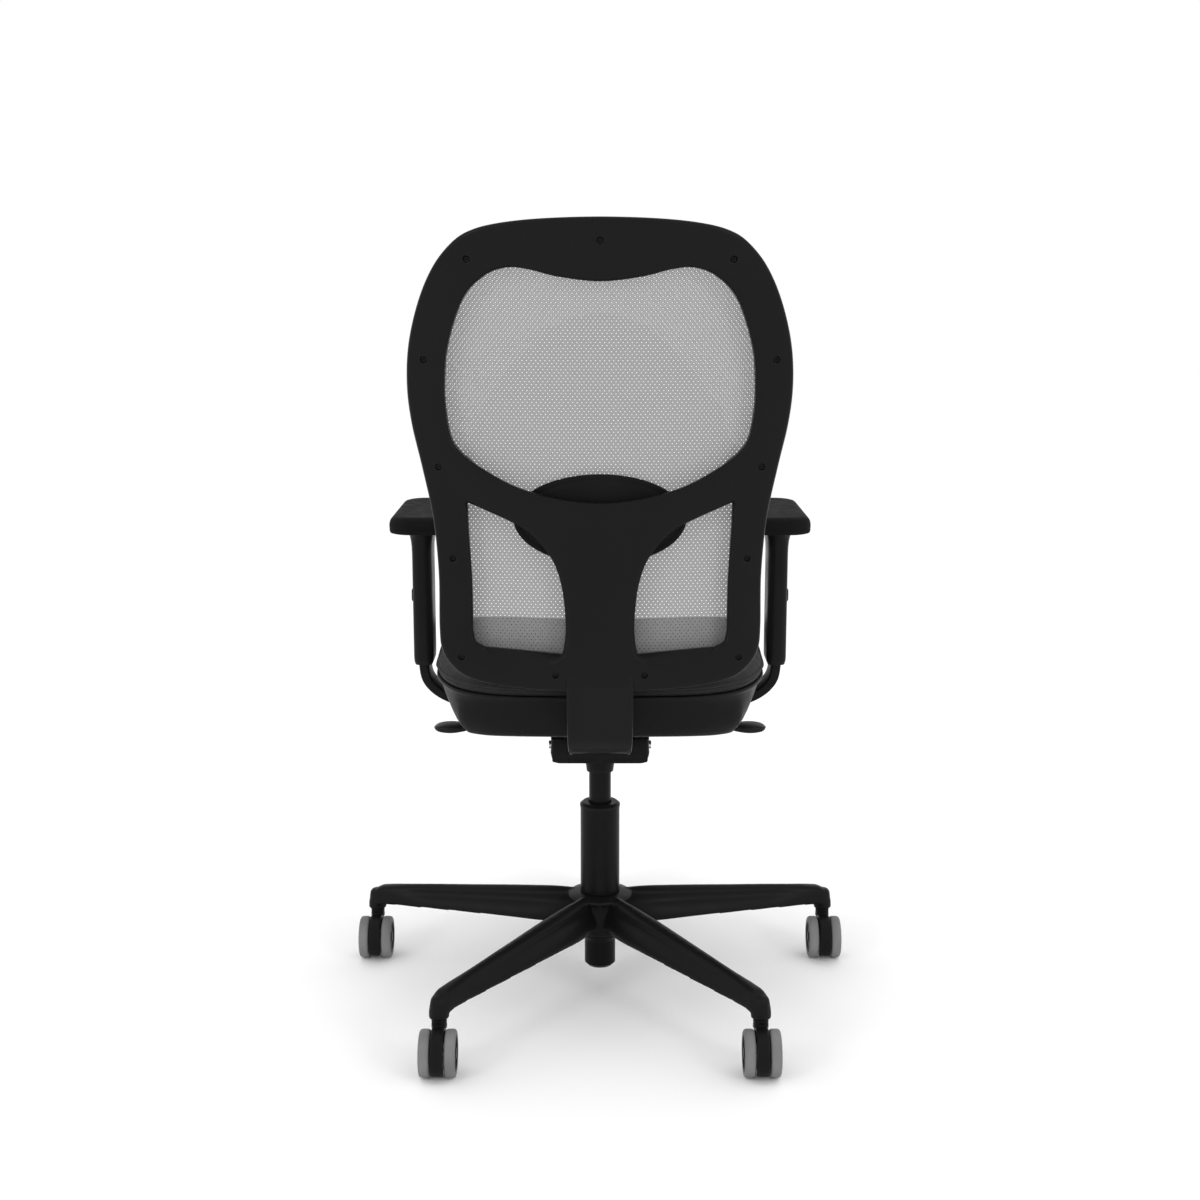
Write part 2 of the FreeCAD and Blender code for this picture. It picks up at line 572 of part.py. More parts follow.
# ---- write every piece ----
def pieces():
    yield "five_star_base", five_star_base()
    yield "gas_lift_tube", gas_lift_tube()
    yield "column_collar", column_collar()
    yield "guide_bush", guide_bush()
    yield "thrust_bearing", thrust_bearing()
    yield "piston_rod", piston_rod()
    yield "gas_cylinder", gas_cylinder()
    for number, (x, y) in enumerate(stem_places(), 1):
        yield "caster_%d_hood" % number, caster_hood(x, y)
        yield "caster_%d_pins" % number, caster_pins(x, y)
        yield "caster_%d_wheel_left" % number, caster_wheel(x, y, 1)
        yield "caster_%d_wheel_right" % number, caster_wheel(x, y, -1)
    yield "mechanism_housing", mechanism_housing()
    yield "mechanism_cover", mechanism_cover()
    yield "recline_shaft", pivot_shaft(RECLINE_PIVOT)
    yield "tilt_shaft", pivot_shaft(TILT_PIVOT)
    yield "recline_springs", recline_springs()
    for name, side in (("left", 1), ("right", -1)):
        yield "lever_bearing_" + name, lever_bearing(side)
        yield "slide_runner_" + name, slide_runner(side)
    yield "tilt_lock_lever", lever(1)
    yield "height_lever", lever(-1)
    yield "seat_carriage", seat_carriage()
    yield "seat_pan", seat_pan()
    yield "seat_shell", seat_shell()
    yield "seat_cushion", seat_cushion()
    yield "back_frame", back_frame()
    yield "back_bar", back_bar()
    yield "back_mesh", back_mesh()
    yield "mesh_carrier", mesh_carrier()
    yield "carrier_screws", carrier_screws()
    yield "lumbar_pad", lumbar_pad()
    for name, flip in (("left", False), ("right", True)):
        for part, shape in (("bracket", arm_bracket()), ("sleeve", arm_sleeve()),
                            ("button", arm_button()), ("pad", arm_pad())):
            yield "arm_%s_%s" % (part, name), mirrored(shape) if flip else shape


os.makedirs("parts", exist_ok=True)
for node, shape in pieces():
    shape.exportStep("parts/%s.step" % node)
    print("%-24s valid=%s solids=%d volume=%.1f cm3" % (node, shape.isValid(), len(shape.Solids),
                                                        shape.Volume / 1000))
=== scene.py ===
import bmesh
import bpy
import json
import math
import numpy as np
from mathutils import Matrix, Vector
from mathutils.bvhtree import BVHTree
from mathutils.geometry import delaunay_2d_cdt


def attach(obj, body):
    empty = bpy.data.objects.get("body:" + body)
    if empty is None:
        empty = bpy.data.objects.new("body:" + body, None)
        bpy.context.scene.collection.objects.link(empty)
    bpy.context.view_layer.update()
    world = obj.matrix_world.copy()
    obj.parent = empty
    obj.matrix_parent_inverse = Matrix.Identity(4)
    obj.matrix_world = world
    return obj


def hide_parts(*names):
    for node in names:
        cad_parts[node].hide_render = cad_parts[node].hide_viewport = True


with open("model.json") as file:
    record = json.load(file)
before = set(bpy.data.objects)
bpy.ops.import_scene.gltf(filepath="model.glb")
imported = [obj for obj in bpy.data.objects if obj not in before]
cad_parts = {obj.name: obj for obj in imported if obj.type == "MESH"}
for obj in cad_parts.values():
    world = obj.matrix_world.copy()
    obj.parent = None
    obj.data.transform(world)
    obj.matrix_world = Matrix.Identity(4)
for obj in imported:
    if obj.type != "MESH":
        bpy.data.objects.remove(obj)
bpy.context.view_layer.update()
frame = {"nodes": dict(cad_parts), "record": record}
MM = 0.001


# ---- camera, floor and light ----
CAMERA_PLACE = (0.0, 2.1396, 0.9157)
CAMERA_TIP = 0.1903          # radians below level
LENS_MM, SENSOR_MM = 52.27, 36.0
VIEW_LIMIT = 60.0
FLOOR_REACH = 14.0
LAMPS = (                    # name, place, aim, size in metres, power in watts
    ("overhead", (0.0, 0.2, 3.2), (0, 0, 0.3), 2.4, 10.0),
    ("rear_left", (2.6, 2.8, 2.0), (0, 0, 0.5), 0.9, 20.0),
    ("rear_right", (-2.6, 2.8, 2.0), (0, 0, 0.5), 0.9, 20.0))


def set_camera():
    """A tall tripod behind the chair, tipped a little downwards."""
    lens = bpy.data.cameras.new("camera")
    lens.lens = LENS_MM
    lens.sensor_width = SENSOR_MM
    lens.clip_end = VIEW_LIMIT
    camera = bpy.data.objects.new("camera", lens)
    camera.location = CAMERA_PLACE
    camera.rotation_euler = (math.pi / 2 - CAMERA_TIP, 0.0, math.pi)
    bpy.context.scene.collection.objects.link(camera)
    bpy.context.scene.camera = camera


def set_light():
    """A white studio with an overhead softbox and two smaller boxes behind the chair."""
    bpy.context.scene.view_settings.view_transform = "Standard"
    world = bpy.data.worlds.new("studio")
    bpy.context.scene.world = world
    world.use_nodes = True
    background = world.node_tree.nodes["Background"]
    background.inputs["Color"].default_value = (1.0, 1.0, 1.0, 1.0)
    background.inputs["Strength"].default_value = 1.0
    for name, place, aim, size, power in LAMPS:
        lamp = bpy.data.lights.new(name, "AREA")
        lamp.energy = power
        lamp.size = size
        holder = bpy.data.objects.new(name, lamp)
        holder.location = place
        holder.rotation_euler = (Vector(aim) - Vector(place)).to_track_quat("-Z", "Y").to_euler()
        bpy.context.scene.collection.objects.link(holder)


def set_floor():
    """A wide white floor that stays out of the model."""
    mesh = bpy.data.meshes.new("floor")
    far = FLOOR_REACH
    mesh.from_pydata([(-far, -far, 0), (far, -far, 0), (far, far, 0), (-far, far, 0)], [], [(0, 1, 2, 3)])
    floor = bpy.data.objects.new("floor", mesh)
    bpy.context.scene.collection.objects.link(floor)
    material = bpy.data.materials.new("floor_white")
    material.use_nodes = True
    shader = material.node_tree.nodes["Principled BSDF"]
    shader.inputs["Base Color"].default_value = (1.0, 1.0, 1.0, 1.0)
    shader.inputs["Roughness"].default_value = 0.9
    mesh.materials.append(material)


# ---- material kit ----
DULL_SPECULAR = 0.08         # shine of every finish that sets none of its own
CLOTH_PITCH = 0.0018         # metres, with two ribs in it
YARN_PITCH = 0.0011
EDGE_SHARPNESS = (0.515, 0.56)   # where an edge begins to look worn, and where it is fully worn


class Finish:
    """A material under construction, with short calls for the nodes that the finishes share."""

    def __init__(self, name, color, roughness, metallic=0.0):
        self.material = bpy.data.materials.new(name)
        self.material.use_nodes = True
        self.tree = self.material.node_tree
        self.shader = self.tree.nodes["Principled BSDF"]
        self.shader.inputs["Base Color"].default_value = (*color, 1.0)
        self.shader.inputs["Roughness"].default_value = roughness
        self.shader.inputs["Metallic"].default_value = metallic
        self.shader.inputs["Specular IOR Level"].default_value = DULL_SPECULAR
        self.place = self.tree.nodes.new("ShaderNodeTexCoord").outputs["Object"]
        self.normal = None

    def node(self, kind, **values):
        made = self.tree.nodes.new(kind)
        for key, value in values.items():
            if key.startswith("set_"):
                setattr(made, key[4:], value)
            else:
                made.inputs[key.replace("_", " ")].default_value = value
        return made

    def link(self, output, target):
        self.tree.links.new(output, target)

    def noise(self, scale, detail=3.0, stretch=None):
        made = self.node("ShaderNodeTexNoise", Scale=scale, Detail=detail)
        source = self.place
        if stretch:
            mapping = self.node("ShaderNodeMapping", Scale=stretch)
            self.link(self.place, mapping.inputs["Vector"])
            source = mapping.outputs["Vector"]
        self.link(source, made.inputs["Vector"])
        return made.outputs["Fac"]

    def ramp(self, source, low, high, out_low, out_high):
        made = self.node("ShaderNodeMapRange", From_Min=low, From_Max=high, To_Min=out_low, To_Max=out_high)
        self.link(source, made.inputs["Value"])
        return made.outputs["Result"]

    def math(self, operation, a, b=None):
        made = self.node("ShaderNodeMath", set_operation=operation)
        for value, slot in ((a, 0), (b, 1)):
            if value is None:
                continue
            if isinstance(value, (int, float)):
                made.inputs[slot].default_value = value
            else:
                self.link(value, made.inputs[slot])
        return made.outputs[0]

    def tint(self, source, dark, light):
        """Base colour between dark and light, driven by a 0 to 1 value."""
        made = self.node("ShaderNodeMix", set_data_type="RGBA")
        made.inputs["A"].default_value = (*dark, 1.0)
        made.inputs["B"].default_value = (*light, 1.0)
        self.link(source, made.inputs["Factor"])
        self.link(made.outputs["Result"], self.shader.inputs["Base Color"])
        return made.outputs["Result"]

    def roughen(self, source, low, high):
        self.link(self.ramp(source, 0.3, 0.7, low, high), self.shader.inputs["Roughness"])

    def bump(self, height, distance, strength=1.0):
        made = self.node("ShaderNodeBump", Strength=strength, Distance=distance)
        self.link(height, made.inputs["Height"])
        if self.normal is not None:
            self.link(self.normal, made.inputs["Normal"])
        self.normal = made.outputs["Normal"]
        self.link(self.normal, self.shader.inputs["Normal"])

    def worn_edges(self, color, light):
        """Edges polished a little lighter by hands and shoes."""
        edge = self.node("ShaderNodeNewGeometry").outputs["Pointiness"]
        worn = self.math("MULTIPLY", self.ramp(edge, *EDGE_SHARPNESS, 0.0, 1.0), self.noise(55.0, 4.0))
        made = self.node("ShaderNodeMix", set_data_type="RGBA")
        made.inputs["B"].default_value = (*light, 1.0)
        self.link(color, made.inputs["A"])
        self.link(worn, made.inputs["Factor"])
        self.link(made.outputs["Result"], self.shader.inputs["Base Color"])


def grey(value, warmth=0.0):
    return (value * (1 + warmth), value, value * (1 - warmth))


def moulded_plastic(name, dark, light, roughness):
    """Satin moulded plastic: a fine spark-eroded grain, faint flow clouds, and duller and shinier patches."""
    made = Finish(name, grey(dark), roughness)
    flow = made.noise(9.0, 4.0, (1.0, 1.0, 0.45))
    made.worn_edges(made.tint(flow, grey(dark), grey(light)), grey(light * 1.9))
    made.roughen(made.noise(38.0, 5.0), roughness - 0.05, roughness + 0.07)
    made.bump(made.noise(1500.0, 2.0), 0.00006, 0.5)
    return made.material


def powder_coat(name, dark, light, roughness, worn=0.012):
    """Powder paint on steel: a small orange-peel texture over a satin black."""
    made = Finish(name, grey(dark), roughness)
    made.worn_edges(made.tint(made.noise(14.0, 3.0), grey(dark), grey(light)), grey(worn))
    made.roughen(made.noise(160.0, 3.0), roughness - 0.03, roughness + 0.03)
    made.bump(made.noise(900.0, 3.0), 0.00005, 0.35)
    return made.material


def turned_steel(name):
    """Bright steel with fine lines left by the lathe."""
    made = Finish(name, (0.56, 0.57, 0.59), 0.3, 1.0)
    lines = made.noise(240.0, 3.0, (0.05, 1.0, 1.0))
    made.tint(lines, (0.42, 0.43, 0.45), (0.66, 0.67, 0.69))
    made.roughen(lines, 0.22, 0.4)
    made.bump(lines, 0.00003, 0.4)
    return made.material


def woven_cloth(name, dark, light):
    """Plain woven upholstery: fine warp and weft ribs with fuzzy yarn and slubs."""
    made = Finish(name, grey(dark), 0.85)
    made.shader.inputs["Sheen Weight"].default_value = 0.06
    made.shader.inputs["Sheen Roughness"].default_value = 0.45
    made.shader.inputs["Sheen Tint"].default_value = (0.75, 0.77, 0.8, 1.0)
    made.shader.inputs["Specular IOR Level"].default_value = 0.25
    split = made.node("ShaderNodeSeparateXYZ")
    made.link(made.place, split.inputs[0])
    pitch = math.tau / CLOTH_PITCH
    waves = []
    for along, across in ((split.outputs["X"], split.outputs["Y"]), (split.outputs["Y"], split.outputs["X"])):
        rib = made.math("SINE", made.math("MULTIPLY", along, pitch))
        over = made.math("SINE", made.math("MULTIPLY", across, pitch / 2))
        waves.append(made.math("MULTIPLY", made.math("ABSOLUTE", rib), made.math("ABSOLUTE", over)))
    side = made.math("SINE", made.math("MULTIPLY", split.outputs["Z"], pitch))
    yarn = made.math("MAXIMUM", made.math("MAXIMUM", waves[0], waves[1]),
                     made.math("MULTIPLY", made.math("ABSOLUTE", side), 0.8))
    slub = made.noise(420.0, 4.0, (0.35, 1.0, 1.0))
    mottle = made.math("ADD", made.math("MULTIPLY", yarn, 0.6), made.math("MULTIPLY", slub, 0.5))
    made.tint(mottle, grey(dark), grey(light))
    made.bump(mottle, 0.00035, 0.8)
    made.bump(made.noise(70.0, 3.0), 0.0006, 0.25)
    return made.material


def soft_skin(name, dark, light):
    """Self-skinned foam: soft satin with a shallow leather-like grain."""
    made = Finish(name, grey(dark), 0.6)
    made.shader.inputs["Specular IOR Level"].default_value = 0.022
    cells = made.node("ShaderNodeTexVoronoi", Scale=720.0, set_feature="DISTANCE_TO_EDGE")
    made.link(made.place, cells.inputs["Vector"])
    made.tint(made.noise(26.0, 4.0), grey(dark), grey(light))
    made.roughen(made.noise(60.0, 4.0), 0.54, 0.68)
    made.bump(cells.outputs["Distance"], 0.00018, 0.35)
    made.bump(made.noise(1400.0, 2.0), 0.00005, 0.4)
    return made.material


def caster_tread(name):
    """Grey soft tread: dusty, with scuffs that run round the wheel."""
    made = Finish(name, grey(0.2), 0.5)
    scuffs = made.noise(160.0, 5.0, (1.0, 0.25, 0.25))
    made.tint(made.math("MULTIPLY", made.noise(30.0, 4.0), made.math("ADD", scuffs, 0.45)),
              grey(0.13), grey(0.235, 0.01))
    made.roughen(scuffs, 0.42, 0.62)
    made.bump(scuffs, 0.00008, 0.5)
    return made.material


def knitted_net(name):
    """Light grey knitted yarn, itself a little open between its fine threads."""
    made = Finish(name, grey(0.24), 0.75)
    split = made.node("ShaderNodeSeparateXYZ")
    made.link(made.place, split.inputs[0])
    pitch = math.tau / YARN_PITCH
    threads = made.math("ADD", made.math("SINE", made.math("MULTIPLY", split.outputs["X"], pitch)),
                        made.math("SINE", made.math("MULTIPLY", split.outputs["Z"], pitch)))
    fuzz = made.noise(900.0, 3.0)
    made.tint(made.math("ADD", made.math("MULTIPLY", fuzz, 0.7), made.math("MULTIPLY", threads, 0.12)),
              grey(0.19), grey(0.31))
    made.link(made.ramp(threads, -1.6, 1.6, 0.78, 0.94), made.shader.inputs["Alpha"])
    made.bump(threads, 0.0001, 0.5)
    return made.material


# ---- mesh kit ----
def new_mesh_object(name, verts, faces, material):
    mesh = bpy.data.meshes.new(name)
    mesh.from_pydata([tuple(v) for v in verts], [], [tuple(f) for f in faces])
    mesh.materials.append(material)
    made = bpy.data.objects.new(name, mesh)
    bpy.context.scene.collection.objects.link(made)
    return made


def shade(made, crease):
    """Smooth shading with sharp edges above an angle in degrees."""
    made.data.shade_smooth()
    made.data.set_sharp_from_angle(angle=math.radians(crease))
    return made


def tidy_mesh(made, crease=40.0, merge=1e-6):
    """Doubles merged, normals outward, smooth shading with sharp edges above an angle."""
    work = bmesh.new()
    work.from_mesh(made.data)
    bmesh.ops.remove_doubles(work, verts=work.verts, dist=merge)
    bmesh.ops.dissolve_degenerate(work, edges=work.edges, dist=1e-7)
    bmesh.ops.recalc_face_normals(work, faces=work.faces)
    work.to_mesh(made.data)
    work.free()
    return shade(made, crease)


def settle(made, body, node):
    """Ties a finished piece to its body and hides the CAD node that it stands for."""
    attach(made, body)
    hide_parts(node)


def bake_modifiers(made):
    """Turns the evaluated object into a plain mesh and removes its modifiers."""
    depsgraph = bpy.context.evaluated_depsgraph_get()
    mesh = bpy.data.meshes.new_from_object(made.evaluated_get(depsgraph))
    made.modifiers.clear()
    made.data = mesh
    return made


def soften(made, width, segments):
    """Rounds the edges sharper than 35 degrees; width in metres."""
    bevel = made.modifiers.new("bevel", "BEVEL")
    bevel.width = width
    bevel.segments = segments
    bevel.limit_method = "ANGLE"
    bevel.angle_limit = math.radians(35.0)
    return bake_modifiers(made)


def melt_together(made, voxel, smoothing):
    """Joins overlapping closed shapes into one skin with soft inner corners."""
    remesh = made.modifiers.new("remesh", "REMESH")
    remesh.mode = "VOXEL"
    remesh.voxel_size = voxel
    smooth = made.modifiers.new("smooth", "SMOOTH")
    smooth.factor = 0.5
    smooth.iterations = smoothing
    bake_modifiers(made)
    made.data.shade_smooth()
    return made


def curve_through(points, closed=True, steps=6):
    """Points along a smooth curve through the given ones (Catmull-Rom)."""
    points = np.asarray(points, float)
    count = len(points)
    if closed:
        padded = np.vstack([points[-1:], points, points[:2]])
    else:
        padded = np.vstack([2 * points[0] - points[1], points, 2 * points[-1] - points[-2]])
    spans = count if closed else count - 1
    made = []
    for i in range(spans):
        a, b, c, d = padded[i:i + 4]
        for step in range(steps):
            t = step / steps
            made.append(0.5 * (2 * b + (c - a) * t + (2 * a - 5 * b + 4 * c - d) * t * t
                               + (3 * b - a - 3 * c + d) * t ** 3))
    if not closed:
        made.append(points[-1])
    return np.array(made)


def mirrored_loop(half, steps=6):
    """A closed smooth outline from its half with first coordinate 0 or more."""
    left = [(-a, b) for a, b in reversed(half) if a > 0]
    return curve_through(list(half) + left, True, steps)


def line_through(points):
    """A smooth function of one value through (value, result) points."""
    xs, ys = (np.array(column, float) for column in zip(*points))
    slopes = np.gradient(ys, xs)

    def value(x):
        x = np.clip(x, xs[0], xs[-1])
        i = np.clip(np.searchsorted(xs, x) - 1, 0, len(xs) - 2)
        h = xs[i + 1] - xs[i]
        t = (x - xs[i]) / h
        return ((1 + 2 * t) * (1 - t) ** 2 * ys[i] + t * (1 - t) ** 2 * h * slopes[i]
                + t * t * (3 - 2 * t) * ys[i + 1] + t * t * (t - 1) * h * slopes[i + 1])
    return value


def step_between(x, low, high):
    t = np.clip((x - low) / (high - low), 0, 1)
    return t * t * (3 - 2 * t)


def loft(name, loops, material, capped=True, closed_run=False):
    """Quads between equal loops of points, in millimetres, with fans over the ends if capped.

    A closed run joins the last loop to the first instead.
    """
    loops = [np.asarray(loop, float) for loop in loops]
    count = len(loops[0])
    verts = list(np.vstack(loops) * MM)
    faces = []
    pairs = len(loops) if closed_run else len(loops) - 1
    for k in range(pairs):
        a, b = k * count, (k + 1) % len(loops) * count
        for i in range(count):
            j = (i + 1) % count
            faces.append((a + i, a + j, b + j, b + i))
    if capped and not closed_run:
        for loop, start, flip in ((loops[0], 0, True), (loops[-1], (len(loops) - 1) * count, False)):
            verts.append(loop.mean(0) * MM)
            hub = len(verts) - 1
            for i in range(count):
                j = (i + 1) % count
                faces.append((hub, start + j, start + i) if flip else (hub, start + i, start + j))
    return new_mesh_object(name, verts, faces, material)


def turned(name, profile, material, centre=(0, 0, 0), axis="Z", sides=64):
    """A lathe shape from (radius, along) points, in millimetres.

    Radius 0 closes a pole; with no pole at either end the shape closes on itself as a ring.
    """
    verts, rows = [], []
    for radius, along in profile:
        if radius == 0:
            rows.append([len(verts)])
            verts.append((0, 0, along))
            continue
        rows.append(list(range(len(verts), len(verts) + sides)))
        for k in range(sides):
            angle = math.tau * k / sides
            verts.append((radius * math.cos(angle), radius * math.sin(angle), along))
    faces = []
    for a, b in zip(rows, rows[1:]):
        for k in range(sides):
            n = (k + 1) % sides
            if len(a) == 1:
                faces.append((a[0], b[k], b[n]))
            elif len(b) == 1:
                faces.append((a[k], b[0], a[n]))
            else:
                faces.append((a[k], b[k], b[n], a[n]))
    if profile[0][0] and profile[-1][0]:
        a, b = rows[-1], rows[0]
        faces += [(a[k], b[k], b[(k + 1) % sides], a[(k + 1) % sides]) for k in range(sides)]
    turn = {"Z": lambda x, y, z: (x, y, z), "X": lambda x, y, z: (z, x, y),
            "Y": lambda x, y, z: (y, z, x)}[axis]
    verts = [(np.array(turn(*v)) + centre) * MM for v in verts]
    return tidy_mesh(new_mesh_object(name, verts, faces, material))


def rounded_rectangle(half_a, half_b, radius, corner=5):
    """Points round a rectangle with round corners, the same count for every size."""
    radius = min(radius, half_a * 0.999, half_b * 0.999)
    points = []
    for quarter, (sa, sb) in enumerate(((1, 1), (-1, 1), (-1, -1), (1, -1))):
        for k in range(corner + 1):
            angle = math.pi / 2 * (quarter + k / corner)
            points.append((sa * (half_a - radius) + radius * math.cos(angle),
                           sb * (half_b - radius) + radius * math.sin(angle)))
    return np.array(points)


def join(name, objects):
    """Several objects of one material as one mesh under one name."""
    work = bmesh.new()
    for item in objects:
        work.from_mesh(item.data)
    mesh = bpy.data.meshes.new(name)
    work.to_mesh(mesh)
    work.free()
    mesh.materials.append(objects[0].data.materials[0])
    for item in objects:
        bpy.data.objects.remove(item)
    made = bpy.data.objects.new(name, mesh)
    bpy.context.scene.collection.objects.link(made)
    return made


# ---- flat outlines bent onto the back ----
def gap_to(points, loops):
    """Each point's distance to the nearest outline."""
    best = np.full(len(points), 1e9)
    for loop in loops:
        a, b = loop, np.roll(loop, -1, axis=0)
        run = b - a
        length = np.maximum((run ** 2).sum(1), 1e-12)
        for start in range(0, len(points), 4000):
            part = points[start:start + 4000]
            to = part[:, None, :] - a[None]
            t = np.clip((to * run).sum(2) / length, 0, 1)
            gap = np.linalg.norm(to - t[..., None] * run, axis=2).min(1)
            best[start:start + 4000] = np.minimum(best[start:start + 4000], gap)
    return best


def within(points, loop):
    """Which points lie inside an outline."""
    a, b = loop, np.roll(loop, -1, axis=0)
    x, z = points[:, 0][:, None], points[:, 1][:, None]
    crosses = (a[:, 1] > z) != (b[:, 1] > z)
    rise = np.where(b[:, 1] == a[:, 1], 1e-12, b[:, 1] - a[:, 1])
    hit = x < (b[:, 0] - a[:, 0]) * (z - a[:, 1]) / rise + a[:, 0]
    return (crosses & hit).sum(1) % 2 == 1


def in_material(points, outer, holes):
    """Which points lie inside the outer outline and outside every hole."""
    keep = within(points, outer)
    for hole in holes:
        keep &= ~within(points, hole)
    return keep


def moulding(name, outer, holes, rear, front, rims, spacing, material, rings=()):
    """A plate with holes, bent front to back.

    rear and front give y from the points and their gaps to the edge; rims are the insets of extra loops along
    the edges; rings are (centre, radii) of extra circles round sunk spots.
    """
    loops = [outer] + list(holes)
    points, edges = [], []
    for loop in loops:
        start = len(points)
        points += [tuple(p) for p in loop]
        edges += [(start + i, start + (i + 1) % len(loop)) for i in range(len(loop))]
    border = len(points)
    inner = []
    for loop in loops:
        run = np.roll(loop, -1, axis=0) - np.roll(loop, 1, axis=0)
        normal = np.column_stack([run[:, 1], -run[:, 0]]) / np.linalg.norm(run, axis=1)[:, None]
        for inset in rims:
            for way in (-1, 1):
                moved = loop + way * inset * normal
                moved = moved[in_material(moved, outer, holes)]
                if len(moved):
                    inner.append(moved[gap_to(moved, loops) > inset * 0.93])
    low, high = outer.min(0), outer.max(0)
    rows = np.arange(low[1], high[1], spacing * 0.866)
    grid = np.array([(x + (k % 2) * spacing / 2, z) for k, z in enumerate(rows)
                     for x in np.arange(low[0], high[0], spacing)])
    grid = grid[in_material(grid, outer, holes)]
    grid = grid[gap_to(grid, loops) > max(rims) + spacing * 0.45]
    for centre, radii in rings:
        grid = grid[np.linalg.norm(grid - centre, axis=1) > max(radii) + spacing * 0.4]
        inner = [part[np.linalg.norm(part - centre, axis=1) > max(radii) + 0.3] for part in inner]
    for centre, radii in rings:
        for radius in radii:
            turns = np.arange(20) / 20 * math.tau
            inner.append(np.array(centre) + radius * np.column_stack([np.cos(turns), np.sin(turns)]))
        inner.append(np.array([centre]))
    points = np.vstack([np.array(points), grid] + inner)
    result = delaunay_2d_cdt([Vector(p) for p in points], edges, [], 0, 1e-4)
    flat = np.array([tuple(v) for v in result[0]])
    triangles = np.array(result[2])
    middle = flat[triangles].mean(1)
    triangles = triangles[in_material(middle, outer, holes)]
    gap = gap_to(flat, loops)
    gap[:border] = 0.0
    count = len(flat)
    back = np.column_stack([flat[:, 0], rear(flat, gap), flat[:, 1]])
    fore = np.column_stack([flat[:, 0], front(flat, gap), flat[:, 1]])
    faces = [tuple(t) for t in triangles] + [tuple(t[::-1] + count) for t in triangles]
    faces += [(a, b, b + count, a + count) for a, b in edges]
    return tidy_mesh(new_mesh_object(name, np.vstack([back, fore]) * MM, faces, material), 50.0)


# ---- repeats ----
def repeat_tree():
    """Points in, one copy of a small shape on each, turned by the points' own directions."""
    tree = bpy.data.node_groups.new("repeat_on_points", "GeometryNodeTree")
    face = tree.interface
    for label, kind, way in (("Points", "NodeSocketGeometry", "INPUT"),
                             ("Shape", "NodeSocketObject", "INPUT"),
                             ("Finish", "NodeSocketMaterial", "INPUT"),
                             ("Result", "NodeSocketGeometry", "OUTPUT")):
        face.new_socket(name=label, in_out=way, socket_type=kind)
    start = tree.nodes.new("NodeGroupInput")
    end = tree.nodes.new("NodeGroupOutput")
    shape = tree.nodes.new("GeometryNodeObjectInfo")
    copies = tree.nodes.new("GeometryNodeInstanceOnPoints")
    tree.links.new(start.outputs["Shape"], shape.inputs["Object"])
    tree.links.new(start.outputs["Points"], copies.inputs["Points"])
    tree.links.new(shape.outputs["Geometry"], copies.inputs["Instance"])
    turn = None
    for attribute, axis, pivot in (("facing", "Z", "AUTO"), ("along", "X", "Z")):
        named = tree.nodes.new("GeometryNodeInputNamedAttribute")
        named.data_type = "FLOAT_VECTOR"
        named.inputs["Name"].default_value = attribute
        align = tree.nodes.new("FunctionNodeAlignRotationToVector")
        align.axis = axis
        align.pivot_axis = pivot
        tree.links.new(named.outputs["Attribute"], align.inputs["Vector"])
        if turn is not None:
            tree.links.new(turn, align.inputs["Rotation"])
        turn = align.outputs["Rotation"]
    tree.links.new(turn, copies.inputs["Rotation"])
    solid = tree.nodes.new("GeometryNodeRealizeInstances")
    painted = tree.nodes.new("GeometryNodeSetMaterial")
    tree.links.new(copies.outputs["Instances"], solid.inputs["Geometry"])
    tree.links.new(solid.outputs["Geometry"], painted.inputs["Geometry"])
    tree.links.new(start.outputs["Finish"], painted.inputs["Material"])
    tree.links.new(painted.outputs["Geometry"], end.inputs["Result"])
    return tree


REPEAT = repeat_tree()


def repeated(name, shape, places, facing, along, material, merge=1e-6):
    """Copies of shape at places (mm), its Z turned to facing and its X towards along."""
    mesh = bpy.data.meshes.new(name)
    places = np.asarray(places, float)
    mesh.from_pydata([tuple(p * MM) for p in places], [], [])
    for label, values in (("facing", facing), ("along", along)):
        layer = mesh.attributes.new(label, "FLOAT_VECTOR", "POINT")
        layer.data.foreach_set("vector", np.broadcast_to(np.asarray(values, float), places.shape).ravel())
    made = bpy.data.objects.new(name, mesh)
    bpy.context.scene.collection.objects.link(made)
    modifier = made.modifiers.new("repeat", "NODES")
    modifier.node_group = REPEAT
    values = {"Shape": shape, "Finish": material}
    for item in REPEAT.interface.items_tree:
        if item.in_out == "INPUT" and item.name in values:
            modifier[item.identifier] = values[item.name]
    bake_modifiers(made)
    bpy.data.objects.remove(shape)
    return tidy_mesh(made, merge=merge)


